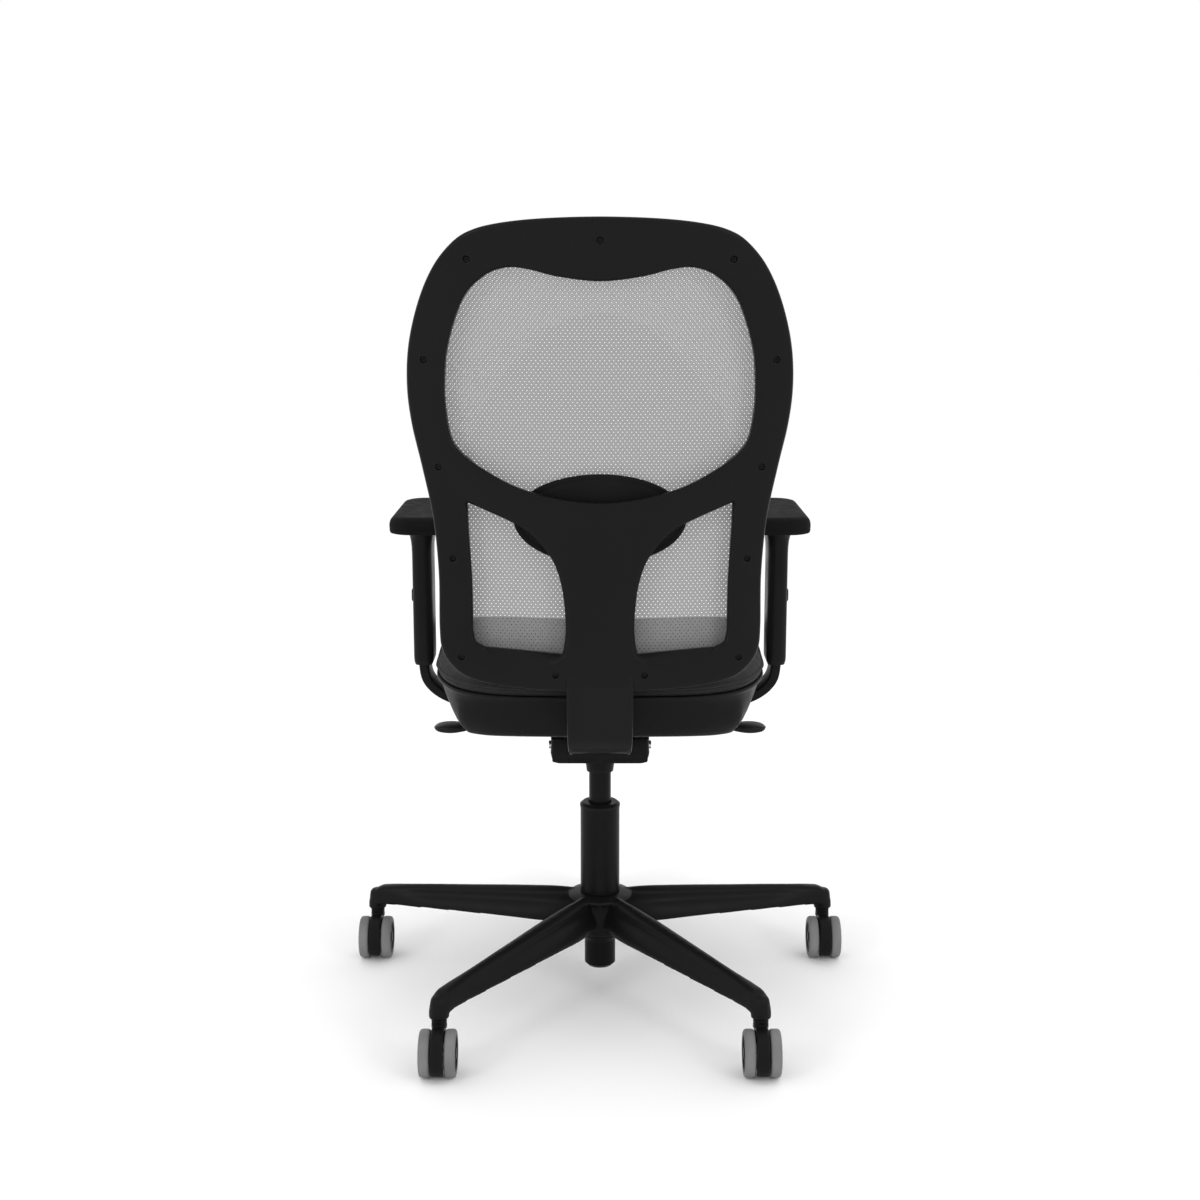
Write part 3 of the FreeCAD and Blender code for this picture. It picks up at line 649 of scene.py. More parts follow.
# ---- finishes, one for each slot of the record ----
FINISH = {
    "base_nylon": moulded_plastic("base_nylon", 0.0055, 0.0085, 0.38),
    "column_paint": powder_coat("column_paint", 0.004, 0.0055, 0.34, 0.006),
    "cylinder_paint": powder_coat("cylinder_paint", 0.004, 0.0055, 0.28, 0.006),
    "hood_plastic": moulded_plastic("hood_plastic", 0.005, 0.007, 0.38),
    "natural_nylon": moulded_plastic("natural_nylon", 0.55, 0.62, 0.45),
    "bright_steel": turned_steel("bright_steel"),
    "tread_rubber": caster_tread("tread_rubber"),
    "mechanism_paint": powder_coat("mechanism_paint", 0.006, 0.009, 0.40),
    "shell_plastic": moulded_plastic("shell_plastic", 0.0045, 0.0065, 0.44),
    "lever_plastic": moulded_plastic("lever_plastic", 0.009, 0.013, 0.36),
    "seat_fabric": woven_cloth("seat_fabric", 0.007, 0.019),
    "frame_plastic": moulded_plastic("frame_plastic", 0.0055, 0.008, 0.34),
    "back_net": knitted_net("back_net"),
    "screw_black": powder_coat("screw_black", 0.007, 0.010, 0.30, 0.03),
    "pad_skin": soft_skin("pad_skin", 0.007, 0.011),
    "arm_plastic": moulded_plastic("arm_plastic", 0.006, 0.009, 0.36),
}
SLOT_OF = {part["node"]: part["material_slot"] for part in frame["record"]["subparts"]}
BODY_OF = {node: body for body, nodes in frame["record"]["behaviour"]["bodies"].items() for node in nodes}


def finish_of(node):
    return FINISH[SLOT_OF[node]]


def settle_for(made, node):
    """A detailed piece joins the body of the CAD node that it stands for, and hides that node."""
    settle(made, BODY_OF[node], node)


def node_on(side, kind):
    """An armrest node's name: side is 1 for left and -1 for right."""
    return "%s_%s" % (kind, "left" if side > 0 else "right")


def paint_carried_nodes():
    """Gives each CAD node its own slot's finish, for those that no detailed piece replaces."""
    for node, held in frame["nodes"].items():
        held.data.materials.clear()
        held.data.materials.append(finish_of(node))


# ---- back ----
BACK_WRAP = 0.00055          # how the back curves round the sitter: y falls by this times x squared
FRAME_DEPTH = 22.0
SPINE_DEPTH = 12.0
NET_DEPTH = FRAME_DEPTH + 1.1
SCREW_SINK = 4.4
PAD_REAR, PAD_FRONT = 15.3, 19.2         # the lumbar pad's two faces, in front of the back's rear face
BLADE_REAR, BLADE_FRONT = 12.3, 21.3     # those of the back bar's blade
back_profile = line_through([(380, 243), (470, 243), (560, 234), (640, 229), (760, 243), (870, 268),
                             (985, 306)])
SCREWS = [(141, 921), (192, 814), (179.5, 695), (165, 592.5), (156, 482), (50, 464)]
SCREWS = [(0, 940)] + SCREWS + [(-x, z) for x, z in SCREWS]


def back_outline(inset, steps=8):
    """The hoop's outer outline seen square on, drawn in by inset."""
    half = [(0, 964.5), (60, 962.8), (104, 958.5), (134, 951.5), (155, 939.5), (177, 914.5), (195, 878),
            (208, 832), (212, 787), (208.5, 744), (198, 693), (187, 636), (181.5, 575), (181, 515),
            (178, 489), (166, 470), (144, 456.5), (95, 448), (0, 444.5)]
    middle, tall, wide = 704.5, 260.0, 212.0
    return mirrored_loop([(x * (1 - inset / wide), middle + (z - middle) * (1 - inset / tall))
                          for x, z in half], steps)


def upper_window():
    return mirrored_loop([(0, 898), (44, 902.8), (76, 910.5), (100, 912.2), (124, 903), (147, 879),
                          (165, 830), (170, 787), (168.5, 748), (160, 718.5), (132, 694.5), (79, 668.5),
                          (0, 656.5)], 10)


def lower_window(side):
    """The opening beside the spine: straight outside, one tight corner, and a sweeping inner edge."""
    outer = curve_through([(148, 655.5), (147, 622), (143.5, 570), (142.5, 512)], False, 10)
    corner = curve_through([(142.5, 512), (139, 499.5), (128, 493.5)], False, 6)
    inner = curve_through([(42, 487), (39, 506), (39, 530), (43.5, 565), (55, 595), (78, 621), (100, 634.5),
                           (148, 655.5)], False, 9)
    whole = np.vstack([outer[:-1], corner, inner[:-1]])
    return whole * (side, 1)


def rear_at(points):
    """The back's rear face: y at (x, z) points."""
    return back_profile(points[:, 1]) - BACK_WRAP * points[:, 0] ** 2


def quarter_round(gap, radius):
    """How far a rounded rim falls away at this gap from the edge."""
    t = 1 - np.clip(gap / radius, 0, 1)
    return radius * (1 - np.sqrt(np.maximum(1 - t * t, 0)))


def screw_pockets(points):
    """How deep the rear face is sunk round the screws."""
    sunk = np.zeros(len(points))
    for x, z in SCREWS:
        away = np.hypot(points[:, 0] - x, points[:, 1] - z)
        sunk = np.maximum(sunk, np.interp(away, [0, 3.2, 3.6, 4.6, 5.2], [6.0, 6.0, 0.9, 0.15, 0]))
    return sunk


def frame_rear(points, gap):
    crown = 1.6 * (1 - np.clip(gap / 19, 0, 1)) ** 2
    return rear_at(points) - quarter_round(gap, 4.2) - crown - screw_pockets(points)


def frame_front(points, gap):
    x, z = np.abs(points[:, 0]), points[:, 1]
    pad_bay = step_between(146 - x, -3, 3) * step_between(z, 475, 481) * step_between(700 - z, -3, 3)
    spine_bay = step_between(31 - x, -1, 2)
    thin = np.maximum(pad_bay, spine_bay)
    depth = FRAME_DEPTH - (FRAME_DEPTH - SPINE_DEPTH) * thin
    return rear_at(points) - depth + quarter_round(gap, 1.5)


def make_back_frame():
    rings = [((x, z), (2.7, 3.2, 3.6, 4.6, 5.2)) for x, z in SCREWS]
    made = moulding("back_frame_moulding", back_outline(0),
                    [upper_window(), lower_window(1), lower_window(-1)],
                    frame_rear, frame_front, (0.5, 1.3, 2.6, 4.4, 7.0, 11.0), 4.5,
                    finish_of("back_frame"), rings)
    settle_for(made, "back_frame")


def make_carrier_screws():
    head = turned("screw_shape", [(0, -3.4), (3.1, -3.4), (3.1, -0.5), (2.7, -0.1), (1.5, 0), (1.5, -1.6),
                                  (0, -1.6)],
                  FINISH["screw_black"], sides=12)
    flat = np.array(SCREWS, float)
    places = np.column_stack([flat[:, 0], rear_at(flat) - SCREW_SINK, flat[:, 1]])
    made = repeated("carrier_screw_heads", head, places, (0, 1, 0), (1, 0, 0), FINISH["screw_black"])
    settle_for(made, "carrier_screws")


NET_CELL_X, NET_CELL_Z = 5.0, 3.3
NET_OPEN = 0.27              # size of a hole against its cell


def net_cell():
    """One knitted cell: a six-sided ring of yarn round its hole, a little proud at the hole."""
    tip = (NET_CELL_X ** 2 / 4 + NET_CELL_Z ** 2) / 2 / NET_CELL_Z
    side = tip - NET_CELL_X ** 2 / 4 / NET_CELL_Z
    half = NET_CELL_X / 2
    outline = [(0, tip), (half, side), (half, -side), (0, -tip), (-half, -side), (-half, side)]
    verts = [(x * MM, y * MM, 0) for x, y in outline]
    verts += [(x * NET_OPEN * 0.92 * MM, y * NET_OPEN * MM, 0.28 * MM) for x, y in outline]
    faces = [(i, (i + 1) % 6, 6 + (i + 1) % 6, 6 + i) for i in range(6)]
    return new_mesh_object("net_cell", verts, faces, FINISH["back_net"])


def make_back_net():
    """The net, cell by cell over the hoop's opening, with a plain hem along its edge."""
    border = back_outline(12)
    low, high = border.min(0), border.max(0)
    rows = np.arange(low[1], high[1], NET_CELL_Z)
    flat = np.array([(x + (k % 2) * NET_CELL_X / 2, z) for k, z in enumerate(rows)
                     for x in np.arange(-round(high[0] / NET_CELL_X) * NET_CELL_X, high[0], NET_CELL_X)])
    flat = flat[within(flat, border)]
    places = np.column_stack([flat[:, 0], rear_at(flat) - NET_DEPTH, flat[:, 1]])
    slope = (back_profile(flat[:, 1] + 1) - back_profile(flat[:, 1] - 1)) / 2
    bend = -2 * BACK_WRAP * flat[:, 0]
    facing = np.column_stack([-bend, np.ones(len(flat)), -slope])
    along = np.column_stack([np.ones(len(flat)), bend, np.zeros(len(flat))])
    weave = repeated("net_weave", net_cell(), places, facing, along, FINISH["back_net"], merge=1.2e-4)
    loops = []
    for inset in (6, 8, 10, 12, 14):
        edge = back_outline(inset)
        rise = 0.6 if 6 < inset < 14 else 0
        loops.append(np.column_stack([edge[:, 0], rear_at(edge) - NET_DEPTH + rise, edge[:, 1]]))
    hem = loft("net_hem", loops, FINISH["back_net"], capped=False)
    made = join("back_net_sheet", [weave, hem])
    made.data.shade_smooth()
    settle_for(made, "back_mesh")
    outline = back_outline(6) * MM


def make_lumbar_pad():
    """A flat oval pad with a groove just inside its edge."""
    turns = np.arange(96) / 96 * math.tau
    oval = np.column_stack([97 * np.cos(turns), 636 + 51 * np.sin(turns)])

    def rear(points, gap):
        groove = 0.8 * np.exp(-((gap - 6.5) / 1.3) ** 2)
        return rear_at(points) - PAD_REAR - quarter_round(gap, 1.6) - groove

    def front(points, gap):
        return rear_at(points) - PAD_FRONT + quarter_round(gap, 1.6) - 0.6 * step_between(gap, 4, 40)

    made = moulding("lumbar_pad_skin", oval, [], rear, front, (0.5, 1.2, 2.2, 4, 5.5, 6.5, 7.5, 9), 5.0,
                    finish_of("lumbar_pad"))
    settle_for(made, "lumbar_pad")


def swept(name, path, outline_at, side_axis, material):
    """Outlines carried along a planar path.

    outline_at gives (sideways, outward) points from the share of the path travelled, 0 to 1.
    """
    path = np.asarray(path, float)
    ahead = np.gradient(path, axis=0)
    ahead /= np.linalg.norm(ahead, axis=1)[:, None]
    side_axis = np.array(side_axis, float)
    loops = []
    for k, (place, way) in enumerate(zip(path, ahead)):
        outward = np.cross(side_axis, way)
        outline = np.asarray(outline_at(k / (len(path) - 1)))
        loops.append(place + outline[:, :1] * side_axis + outline[:, 1:] * outward)
    return loft(name, loops, material)


def back_blade():
    """The flat blade of the bar, screwed into the spine from the front."""
    corner = rounded_rectangle(30, 71, 10, 6) + (0, 491)
    return moulding("blade", corner, [], lambda p, gap: rear_at(p) - BLADE_REAR - quarter_round(gap, 1.0),
                    lambda p, gap: rear_at(p) - BLADE_FRONT + quarter_round(gap, 1.0), (0.5, 1.2), 9.0,
                    finish_of("back_bar"))


def make_back_bar():
    """The bent steel bar with a raised lip down both edges of its outer face."""
    half_strap = line_through([(425, 9.25), (440, 9.0), (455, 6.0), (470, 3.0), (490, 2.0), (550, 2.0)])
    climb = np.arange(425.0, 484, 8)
    proud = 0.7 - 3.4 * step_between(climb, 450, 480)
    strap = np.column_stack([back_profile(climb) + proud - half_strap(climb), climb])
    path = curve_through([(53, 334), (90, 341.3), (130, 349.8), (168, 358), (194, 364.3), (212, 371.5),
                          (224, 381), (231, 393), (233.6, 408)] + [tuple(place) for place in strap], False, 6)
    path = np.column_stack([np.zeros(len(path)), path])
    heights = path[:, 2]

    def share_at(height):
        """The share of the bar's length at which it first climbs past this height."""
        return float(np.argmax(heights > height)) / (len(path) - 1)

    thick = line_through([(0, 5.2), (share_at(363), 5.4), (share_at(370), 5.9), (share_at(392), 8.8),
                          (share_at(410), 9.25), (share_at(440), 9.0), (share_at(455), 6.0),
                          (share_at(470), 3.0), (1, 2.0)])
    wide = line_through([(0, 34), (share_at(365), 35), (share_at(380), 36.4), (share_at(440), 37.4),
                         (1, 37.0)])

    def outline(share):
        t, w = thick(share), wide(share)
        half = [(w - 4.2, -t), (w - 1.5, -t + 0.5), (w, -t + 2.2), (w, t - 1.4), (w - 0.7, t - 0.2),
                (w - 1.6, t), (w - 2.7, t - 0.2), (w - 3.6, t - 1.1), (w - 5.0, t - 1.6)]
        return [(x, -n) for x, n in half] + [(-x, -n) for x, n in reversed(half)]

    bar = swept("bar", path, outline, (1, 0, 0), finish_of("back_bar"))
    tidy_mesh(bar, 50.0)
    knuckle = turned("knuckle", [(0, -48), (8, -48), (9, -47), (9, 47), (8, 48), (0, 48)],
                     finish_of("back_bar"), (0, 62, 334), "X", 40)
    made = join("back_bar_forging", [bar, back_blade(), knuckle])
    settle_for(shade(made, 45), "back_bar")


# ---- five-star base ----
STEM_CIRCLE = 316.0
ARM_TURNS = [math.radians(a) for a in (-90.0, -18.0, 54.0, 126.0, 198.0)]
arm_width = line_through([(8, 24), (34, 27), (50, 36), (75, 43), (110, 43.5), (180, 38), (260, 29.5),
                          (300, 24.5), (316, 23), (322, 20), (326, 15)])
arm_under = line_through([(8, 76), (50, 78), (90, 79), (180, 76.5), (260, 73), (300, 70.5), (316, 68),
                          (326, 67)])
arm_over = line_through([(8, 121), (36, 122.5), (60, 121.5), (90, 118.8), (180, 109.5), (260, 101),
                         (300, 95.5), (308, 94), (314, 91), (319, 86.5), (323, 81), (326, 74)])


def base_arm_section(distance):
    """Across a base arm: flared skirt, concave flank and a rounded ridge on top."""
    half, under = arm_width(distance) / 2, arm_under(distance)
    rise = arm_over(distance) - under
    side = [(0.0, 0.10), (0.62, 0.08), (0.90, 0.0), (1.0, 0.04), (0.985, 0.15), (0.88, 0.30), (0.72, 0.46),
            (0.56, 0.57), (0.48, 0.70), (0.47, 0.86), (0.34, 0.97)]
    full = [(0.0, 0.10), (0.62, 0.02), (0.90, 0.0), (1.0, 0.06), (1.0, 0.2), (0.97, 0.4), (0.93, 0.58),
            (0.87, 0.74), (0.74, 0.89), (0.46, 0.98)]
    blend = float(step_between(distance, 235, 312))
    side = [(a + (c - a) * blend, b + (d - b) * blend) for (a, b), (c, d) in zip(side, full)]
    points = side + [(0.0, 1.0)] + [(-a, b) for a, b in reversed(side[1:])]
    smooth = curve_through(points, True, 3)
    return [(distance, half * a, under + rise * b) for a, b in smooth]


def make_base():
    """Hub, five arms and their sockets, melted together as one moulding."""
    paint = finish_of("five_star_base")
    hub = turned("hub", [(21.4, 66.5), (24, 66.5), (26, 68), (26.8, 72), (26.8, 107), (29, 111.5),
                         (35, 113.6), (40.5, 115.2), (42, 117.4), (41, 119.6), (36, 121), (31, 122.2),
                         (27.8, 122.8), (25.6, 122.6), (21.4, 121)], paint)
    arms = []
    for turn in ARM_TURNS:
        stations = np.concatenate([np.arange(24, 300, 8.0), np.linspace(302, 326, 13)])
        arm = loft("arm", [base_arm_section(d) for d in stations], paint)
        tip = turned("tip", [(0, 62), (11.0, 62), (12.2, 62.7), (12.4, 64.2), (11.4, 66.6), (10.7, 74),
                             (10.4, 80), (9.6, 85), (7.2, 88), (3.6, 89.4), (0, 89.6)],
                     paint, (STEM_CIRCLE, 0, 0), "Z", 32)
        piece = join("arm_whole", [arm, tip])
        cosine, sine = math.cos(turn), math.sin(turn)
        for vertex in piece.data.vertices:
            x, y, z = vertex.co
            vertex.co = (cosine * x - sine * y, sine * x + cosine * y, z)
        arms.append(piece)
    made = join("base_moulding", [hub] + arms)
    tidy_mesh(made)
    settle_for(melt_together(made, voxel=0.0018, smoothing=8), "five_star_base")


# ---- casters ----
WHEEL_RADIUS = 27.4
CASTER_TRAIL = 20.0
WHEEL_SPAN = (8.4, 21.3)         # a wheel's inner and outer faces, sideways from the stem
HOOD_HALF = 7.6
HOOD_SWEEP = (-42.0, 128.0)      # the fender band's ends, in degrees round the axle from the rear


def make_hood_shape():
    """Fender band over the wheels, web, neck and two-step collar, with its stem at the origin."""
    paint = FINISH["hood_plastic"]
    axle = np.array([0.0, CASTER_TRAIL, WHEEL_RADIUS])
    band = []
    for angle in np.radians(np.linspace(*HOOD_SWEEP, 34)):
        way = np.array([0.0, math.cos(angle), math.sin(angle)])
        section = rounded_rectangle(HOOD_HALF, 2.3, 1.7, 4)
        band.append([axle + way * (26.6 + out) + (across, 0, 0) for across, out in section])
    band = loft("band", band, paint)
    web = turned("web", [(0, -5.6), (23.5, -5.6), (25, -4), (25, 4), (23.5, 5.6), (0, 5.6)], paint,
                 tuple(axle), "X", 48)
    neck = [[(x * k, y * k2 + shift, z) for x, y in rounded_rectangle(HOOD_HALF, 9.5, 5, 4)]
            for z, k, k2, shift in ((36, 1.0, 1.15, 4), (46, 1.0, 1.1, 2.5), (51, 1.0, 1.0, 0.8),
                                    (55, 1.08, 0.9, 0), (57.5, 1.12, 0.88, 0))]
    neck = loft("neck", neck, paint)
    collar = turned("collar", [(0, 50), (8.9, 50), (9.1, 51), (9.1, 55.4), (8.5, 56.0), (8.5, 56.8),
                               (9.0, 57.4), (9.0, 60.6), (8.4, 61.5), (0, 61.5)], paint, sides=32)
    made = join("hood", [band, web, neck, collar])
    tidy_mesh(made)
    return melt_together(made, voxel=0.0009, smoothing=3)


def moved_copy(shape, name, shift):
    """A copy of a shape's mesh, shifted by millimetres, with the object itself left at the origin."""
    made = bpy.data.objects.new(name, shape.data.copy())
    made.data.transform(Matrix.Translation(Vector(shift) * MM))
    bpy.context.scene.collection.objects.link(made)
    return made


def wheel_shapes(side):
    """Tread and core of one wheel, with the caster's stem at the origin."""
    inner, outer = WHEEL_SPAN
    middle = (inner + outer) / 2
    centre = (0, CASTER_TRAIL, WHEEL_RADIUS)
    grey_ring = [(21.2, inner), (24.6, inner), (26.2, inner + 0.7), (27.1, inner + 2.2), (27.4, inner + 4.2),
                 (27.4, middle), (27.4, outer - 4.4), (27.05, outer - 2.4), (26.2, outer - 0.9),
                 (24.8, outer - 0.15), (23.9, outer), (23.4, outer - 0.5), (21.2, outer - 0.6)]
    disc = [(4.1, inner + 0.5), (20.9, inner + 0.5), (20.9, outer - 0.9), (20.4, outer - 0.4),
            (19.6, outer - 0.4), (18.9, outer - 1.4), (15, outer - 2.6), (9, outer - 2.2),
            (7.4, outer - 1.5), (6.6, outer - 0.6), (5.8, outer - 0.3), (0, outer - 0.1)]
    disc = [(0, inner + 3), (4.1, inner + 3)] + disc
    tread = turned("tread", [(r, side * x) for r, x in grey_ring], FINISH["tread_rubber"], centre, "X", 72)
    core = turned("core", [(r, side * x) for r, x in disc], FINISH["hood_plastic"], centre, "X", 48)
    return tread, core


def make_casters():
    """Five casters in their places, all from one hood and two wheels, with the trail straight behind."""
    hood = make_hood_shape()
    wheels = {"left": wheel_shapes(1), "right": wheel_shapes(-1)}
    for number, turn in enumerate(ARM_TURNS, 1):
        place = (STEM_CIRCLE * math.cos(turn), STEM_CIRCLE * math.sin(turn), 0)
        settle_for(moved_copy(hood, "caster_%d_fender" % number, place), "caster_%d_hood" % number)
        for side, (tread, core) in wheels.items():
            node = "caster_%d_wheel_%s" % (number, side)
            body = BODY_OF[node]
            settle(moved_copy(tread, node + "_tread", place), body, node)
            settle(moved_copy(core, node + "_core", place), body, node)
    for shape in (hood, *wheels["left"], *wheels["right"]):
        bpy.data.objects.remove(shape)


# ---- seat ----
SHELL_SETBACK = 28.0             # how far the shell's front stays behind the cushion's
CLOTH_FRAMES = 20


def seat_outline(inset, front=0.0, steps=6):
    """The seat's outline from above, drawn in by inset, with its front moved back by front."""
    k = inset * 0.7
    half = [(0, 205 - inset), (110, 199 - inset), (170 - k, 166 - k), (200 - inset, 96), (206 - inset, 10),
            (206 - inset, -90), (202 - inset, -176 + front), (176 - k, -232 + k + front),
            (110, -253 + inset + front), (0, -258 + inset + front)]
    return mirrored_loop(half, steps)


def at_height(loop, z):
    """A flat outline lifted to a height."""
    return np.column_stack([loop, np.full(len(loop), float(z))])


def matched_rectangle(x0, x1, y0, y1, like):
    """A rectangle's outline with as many points as another loop, met along the same rays."""
    centre = np.array([(x0 + x1) / 2, (y0 + y1) / 2])
    ways = like - centre
    reach = np.minimum(np.abs((x1 - x0) / 2 / np.where(ways[:, 0] == 0, 1e-9, ways[:, 0])),
                       np.abs((y1 - y0) / 2 / np.where(ways[:, 1] == 0, 1e-9, ways[:, 1])))
    return centre + ways * reach[:, None]


def boxed(loop, share):
    """The loop with its round corners pushed part of the way out to its bounding rectangle."""
    low, high = loop.min(0), loop.max(0)
    return loop + share * (matched_rectangle(low[0], high[0], low[1], high[1], loop) - loop)


def make_seat_shell():
    """A shallow box with squarer corners towards its floor and a lip that stands out under the cushion."""
    back = SHELL_SETBACK
    outside = [(6.4, 428.3), (5.4, 427.8), (5.0, 426.6), (5.3, 425.2), (7.2, 423.6), (9.6, 421),
               (12.2, 414), (17, 403), (22, 393.5), (27, 385), (31.5, 378.4), (35.5, 374.2), (40.5, 371.6),
               (46, 370.6), (52, 370.6)]
    inside = [(54, 374), (48, 374.2), (43.5, 375.6), (39, 378.6), (34.5, 382), (30, 388), (25, 396),
              (20.5, 404), (16, 413), (12.6, 424), (10.4, 428.3)]

    def ring(inset, z):
        return at_height(boxed(seat_outline(inset, back), 0.4 * float(step_between(424 - z, 0, 42))), z)

    loops = [ring(inset, z) for inset, z in outside]
    brim = matched_rectangle(-92, 92, -156, 124, seat_outline(52, back))
    loops += [at_height(brim, 371.2), at_height(brim, 374)]
    loops += [ring(inset, z) for inset, z in inside]
    made = loft("seat_shell_moulding", loops, finish_of("seat_shell"), closed_run=True)
    settle_for(tidy_mesh(made, 45.0), "seat_shell")


def waterfall(points):
    """Moves a flat seat's points: it dips where one sits, falls away in front and rolls over the shell."""
    x, y, z = points.T
    top = step_between(z, 418, 452)
    fall = 0.00048 * np.maximum(-60 - y, 0) ** 2 * top
    dip = 9.0 * np.exp(-(x / 120) ** 2 - ((y + 60) / 230) ** 2) * top
    roll = 26.0 * step_between(-y, 208, 252) * step_between(440 - z, 0, 12)
    return np.column_stack([x, y, z - fall - dip - roll])


def puff(made, voxel, pressure, cap, held_below):
    """Remeshes a padded form and swells it with cloth pressure; lengths in metres.

    Points below held_below stay where they are, and no other point moves more than cap.
    """
    remesh = made.modifiers.new("remesh", "REMESH")
    remesh.mode = "VOXEL"
    remesh.voxel_size = voxel
    bake_modifiers(made)
    count = len(made.data.vertices)
    start = np.empty(count * 3)
    made.data.vertices.foreach_get("co", start)
    start = start.reshape(-1, 3)
    held = made.vertex_groups.new(name="held")
    held.add([int(i) for i in np.nonzero(start[:, 2] < held_below)[0]], 1.0, "REPLACE")
    cloth = made.modifiers.new("cloth", "CLOTH")
    cloth.settings.quality = 4
    cloth.settings.mass = 0.3
    cloth.settings.use_pressure = True
    cloth.settings.uniform_pressure_force = pressure
    cloth.settings.effector_weights.gravity = 0.0
    cloth.settings.tension_stiffness = 12.0
    cloth.settings.compression_stiffness = 12.0
    cloth.settings.bending_stiffness = 0.6
    cloth.settings.vertex_group_mass = "held"
    cloth.point_cache.frame_start = 1
    cloth.point_cache.frame_end = CLOTH_FRAMES
    for step in range(1, CLOTH_FRAMES + 1):
        bpy.context.scene.frame_set(step)
    bake_modifiers(made)
    bpy.context.scene.frame_set(1)
    made.vertex_groups.clear()
    end = np.empty(count * 3)
    made.data.vertices.foreach_get("co", end)
    move = end.reshape(-1, 3) - start
    length = np.linalg.norm(move, axis=1)[:, None]
    move *= np.minimum(1, cap / np.maximum(length, 1e-9))
    made.data.vertices.foreach_set("co", (start + move).ravel())
    return made


def make_cushion():
    """The padded seat: a soft block lofted up from its flat underside, then swelled and smoothed."""
    rows = [(70, 427), (30, 427), (12.5, 427), (5.6, 428.6), (3.0, 432), (1.6, 436.5), (2.2, 440.5),
            (5.2, 444.2), (11, 446.6), (24, 448), (42, 448.5), (60, 448.6)]
    loops = [waterfall(at_height(seat_outline(inset, 0, 8), z)) for inset, z in rows]
    panel = seat_outline(60, 0, 8)
    loops += [waterfall(at_height(panel * share, 448.7)) for share in (0.85, 0.7, 0.5, 0.3, 0.1)]
    made = loft("seat_cushion_cover", loops, FINISH["seat_fabric"])
    puff(tidy_mesh(made), voxel=0.005, pressure=4.0, cap=0.0035, held_below=0.4285)
    smooth = made.modifiers.new("smooth", "SMOOTH")
    smooth.iterations = 4
    finer = made.modifiers.new("finer", "SUBSURF")
    finer.levels = finer.render_levels = 1
    bake_modifiers(made)
    made.data.shade_smooth()
    settle_for(made, "seat_cushion")
    return made


def on_surface(made, points):
    """The nearest points on a mesh, with the surface's directions there."""
    tree = BVHTree.FromObject(made, bpy.context.evaluated_depsgraph_get())
    found = [tree.find_nearest(Vector(p) * MM) for p in points]
    return np.array([f[0] for f in found]) / MM, np.array([f[1] for f in found])


def make_cushion_seam(cushion):
    """Piping where the top panel meets the side band, and a row of stitches under it."""
    edge = waterfall(at_height(seat_outline(1.8, 0, 10), 439.5))
    places, normals = on_surface(cushion, edge)
    ahead = np.roll(places, -1, axis=0) - np.roll(places, 1, axis=0)
    ahead /= np.linalg.norm(ahead, axis=1)[:, None]
    across = np.cross(ahead, normals)
    turns = np.arange(8) / 8 * math.tau
    loops = [place + normal * 0.3 + 1.7 * (np.cos(turns)[:, None] * normal + np.sin(turns)[:, None] * side)
             for place, normal, side in zip(places, normals, across)]
    piping = loft("cushion_piping", loops, FINISH["seat_fabric"], closed_run=True)
    settle(tidy_mesh(piping, 60.0), "seat", "seat_cushion")
    stitch = turned("stitch", [(0, -1.5), (0.28, -1.3), (0.42, 0), (0.28, 1.3), (0, 1.5)],
                    FINISH["seat_fabric"], axis="X", sides=6)
    row = waterfall(at_height(seat_outline(2.2, 0, 19), 435.2))
    spots, facing = on_surface(cushion, row)
    along = np.roll(spots, -1, axis=0) - np.roll(spots, 1, axis=0)
    stitches = repeated("cushion_stitches", stitch, spots + facing * 0.15, facing, along,
                        FINISH["seat_fabric"])
    settle(stitches, "seat", "seat_cushion")


# ---- mechanism ----
def make_mechanism_skirt():
    """The clipped-on skirt under the mechanism: slanted sides, a floor with a hole, and ribs at the rear."""
    paint = finish_of("mechanism_cover")
    rows = [(60.5, 80, 327.6), (60.9, 80.4, 326.8), (59.6, 79.2, 320), (58, 77.8, 315.2), (56.8, 76.6, 313.9),
            (55.4, 75.2, 313.6)]
    loops = [at_height(rounded_rectangle(w, d, 9), z) for w, d, z in rows]
    like = loops[-1][:, :2]
    circle = like / np.linalg.norm(like, axis=1)[:, None] * 25.2
    loops += [at_height(circle, 313.6), at_height(circle, 315.6)]
    loops += [at_height(rounded_rectangle(w, d, 8), z) for w, d, z in ((54.6, 76.0, 315.6), (55.2, 77.2, 317),
                                                                    (58.6, 78.4, 327.6))]
    skirt = tidy_mesh(loft("skirt", loops, paint, closed_run=True), 45.0)
    cheeks = []
    face = rounded_rectangle(9.6, 15, 2.5, 4)
    for side in (-1, 1):
        block = [[(side * (49 + a), y, 331 + b) for a, b in face] for y in (75.5, 80.2)]
        cheeks.append(soften(tidy_mesh(loft("cheek", block, paint)), 0.0008, 2))
    made = join("mechanism_skirt", [skirt] + cheeks)
    settle_for(shade(made, 45), "mechanism_cover")
    corners = ((-0.9, -5.6), (0.9, -5.6), (0.9, 5.6), (-0.9, 5.6))
    rib = loft("rib", [[(x, y, z) for x, z in corners] for y in (-0.2, 1.1)], paint)
    places = [(x, 79.0, 320.6) for x in np.linspace(-48, 48, 13)]
    ribs = repeated("mechanism_skirt_ribs", rib, places, (0, 0, 1), (1, 0, 0), paint)
    settle_for(ribs, "mechanism_cover")


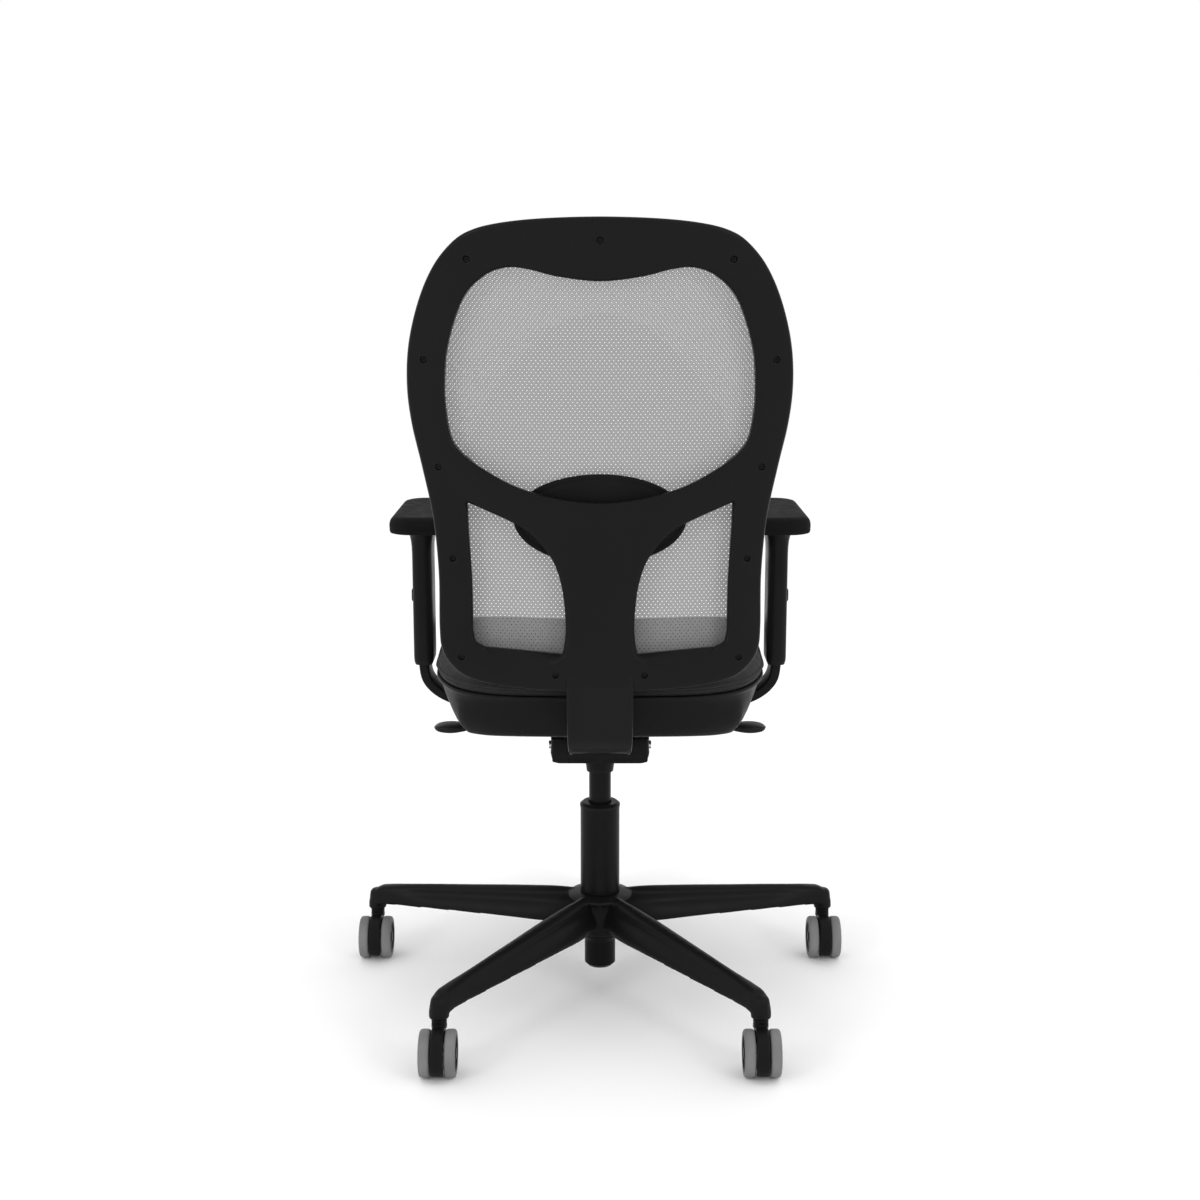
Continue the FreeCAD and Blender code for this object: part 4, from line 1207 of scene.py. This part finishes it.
def make_lever(node, side):
    """A side lever: hub, flat stalk and an oval paddle with a soft edge."""
    reach = line_through([(62, 3.6), (72, 4.6), (90, 5.0), (150, 4.8), (164, 6.4), (170, 11), (178, 15),
                          (187, 16.4), (196, 14.8), (203, 10.8), (206.4, 5.0), (207.4, 1.4)])
    thick = line_through([(62, 3.4), (72, 3.6), (90, 3.0), (150, 2.8), (168, 3.4), (187, 4.4), (198, 3.8),
                          (204, 2.6), (207.4, 0.8)])
    loops = []
    for x in np.concatenate([np.linspace(62, 160, 17), np.linspace(162, 207.4, 30)]):
        half, tall = reach(x), thick(x)
        section = rounded_rectangle(half, tall, tall * 0.8, 4)
        loops.append([(side * x, 28 + a, 347 + b) for a, b in section])
    made = tidy_mesh(loft(node + "_paddle", loops, finish_of(node)), 60.0)
    settle_for(made, node)


# ---- armrests ----
ARM_X, ARM_Y = 222.8, -30.0      # the upright's middle
BUTTON_Z = 505.0


def make_arm_bracket(side):
    """A flat bar out from under the seat that turns up into the sleeve."""
    node = node_on(side, "arm_bracket")
    path = curve_through([(96, 362.5), (130, 362.5), (160, 362.8), (176, 366.8), (190, 373.6),
                          (202, 380.2), (212.5, 389), (219.8, 400), (222.6, 414), (222.8, 430),
                          (222.8, 480), (222.8, 582)], False, 6)
    path = np.column_stack([side * path[:, 0], np.full(len(path), ARM_Y), path[:, 1]])
    thick = line_through([(0, 4.5), (0.25, 4.6), (0.4, 5.6), (0.55, 6.0), (1, 6.0)])
    made = swept(node + "_bar", path, lambda share: rounded_rectangle(20, thick(share), 2.6, 4), (0, 1, 0),
                 finish_of(node))
    settle_for(tidy_mesh(made, 50.0), node)


def make_arm_sleeve(side):
    """Hollow sleeve that flares into the plate under the pad."""
    node = node_on(side, "arm_sleeve")
    bore = [(6.4, 20.4, 3, 0, z) for z in (588, 418.6)]
    flare = [(7.4, 22, 4, 0, 418), (10.6, 25, 7, 0, 418.8), (12.1, 26.6, 9, 0, 423), (12.5, 27, 9.5, 0, 428),
             (12.5, 27, 9.5, 0, 500), (12.5, 27, 9.5, 0, 560), (12.7, 27.6, 9.5, 0, 569),
             (13.4, 29.4, 10, -0.1, 577), (14.6, 33, 10.5, -0.3, 584), (16, 40, 11, -0.6, 589.5),
             (17.4, 50, 11.5, -0.8, 593.4), (18.4, 59.5, 12, -0.9, 595.6), (19, 62, 12, -1, 596.6),
             (19, 62, 12, -1, 597.8)]
    loops = []
    for half_x, half_y, radius, shift, z in bore + flare:
        section = rounded_rectangle(half_x, half_y, radius, 6)
        loops.append([(side * (ARM_X + shift + a), ARM_Y + b, z) for a, b in section])
    made = tidy_mesh(loft(node + "_flare", loops, finish_of(node)), 50.0)
    settle_for(made, node)


def make_arm_button(side):
    """The height button: a rounded key with ribs for the fingertip."""
    node = node_on(side, "arm_button")
    paint = finish_of(node)
    loops = []
    for x, half_y, half_z in ((234.2, 6, 8), (236.8, 6, 8), (237.6, 5.7, 7.7), (238.1, 4.9, 6.9)):
        face = rounded_rectangle(half_y, half_z, 2.4, 4)
        loops.append([(side * x, ARM_Y + a, BUTTON_Z + b) for a, b in face])
    key = tidy_mesh(loft("key", loops, paint), 45.0)
    rib = turned("rib", [(0, -4.2), (0.5, -3.9), (0.6, 0), (0.5, 3.9), (0, 4.2)], paint, axis="X", sides=8)
    places = [(side * 238.1, ARM_Y, BUTTON_Z + z) for z in (-5, -2.5, 0, 2.5, 5)]
    ribs = repeated("ribs", rib, places, (side, 0, 0), (0, 1, 0), paint)
    made = join(node + "_key", [key, ribs])
    settle_for(shade(made, 45), node)


def make_arm_pad(side):
    """A soft pad with a fine groove round its side and a slightly hollow top."""
    node = node_on(side, "arm_pad")
    rows = [(16, 598.1), (3.2, 598.1), (1.2, 598.7), (0.4, 600.2), (0.1, 603.0), (0.55, 603.5), (0.55, 604.1),
            (0.0, 604.6), (0.0, 609), (0.7, 612.4), (2.2, 615.2), (4.6, 617.2), (8.5, 618.4), (14, 618.6),
            (22, 618.2), (32, 617.8)]
    loops = []
    for inset, z in rows:
        section = rounded_rectangle(40 - inset, 100.5 - inset, max(27 - inset * 0.7, 4), 8)
        loops.append([(side * (214 + a), -14.5 + b, z) for a, b in section])
    made = tidy_mesh(loft(node + "_skin", loops, finish_of(node)), 55.0)
    settle_for(made, node)


# ---- build ----
set_camera()
set_light()
set_floor()
paint_carried_nodes()
make_base()
make_casters()
make_back_frame()
make_carrier_screws()
make_back_net()
make_lumbar_pad()
make_back_bar()
make_seat_shell()
make_cushion_seam(make_cushion())
make_mechanism_skirt()
make_lever("tilt_lock_lever", 1)
make_lever("height_lever", -1)
for hand in (1, -1):
    make_arm_bracket(hand)
    make_arm_sleeve(hand)
    make_arm_button(hand)
    make_arm_pad(hand)
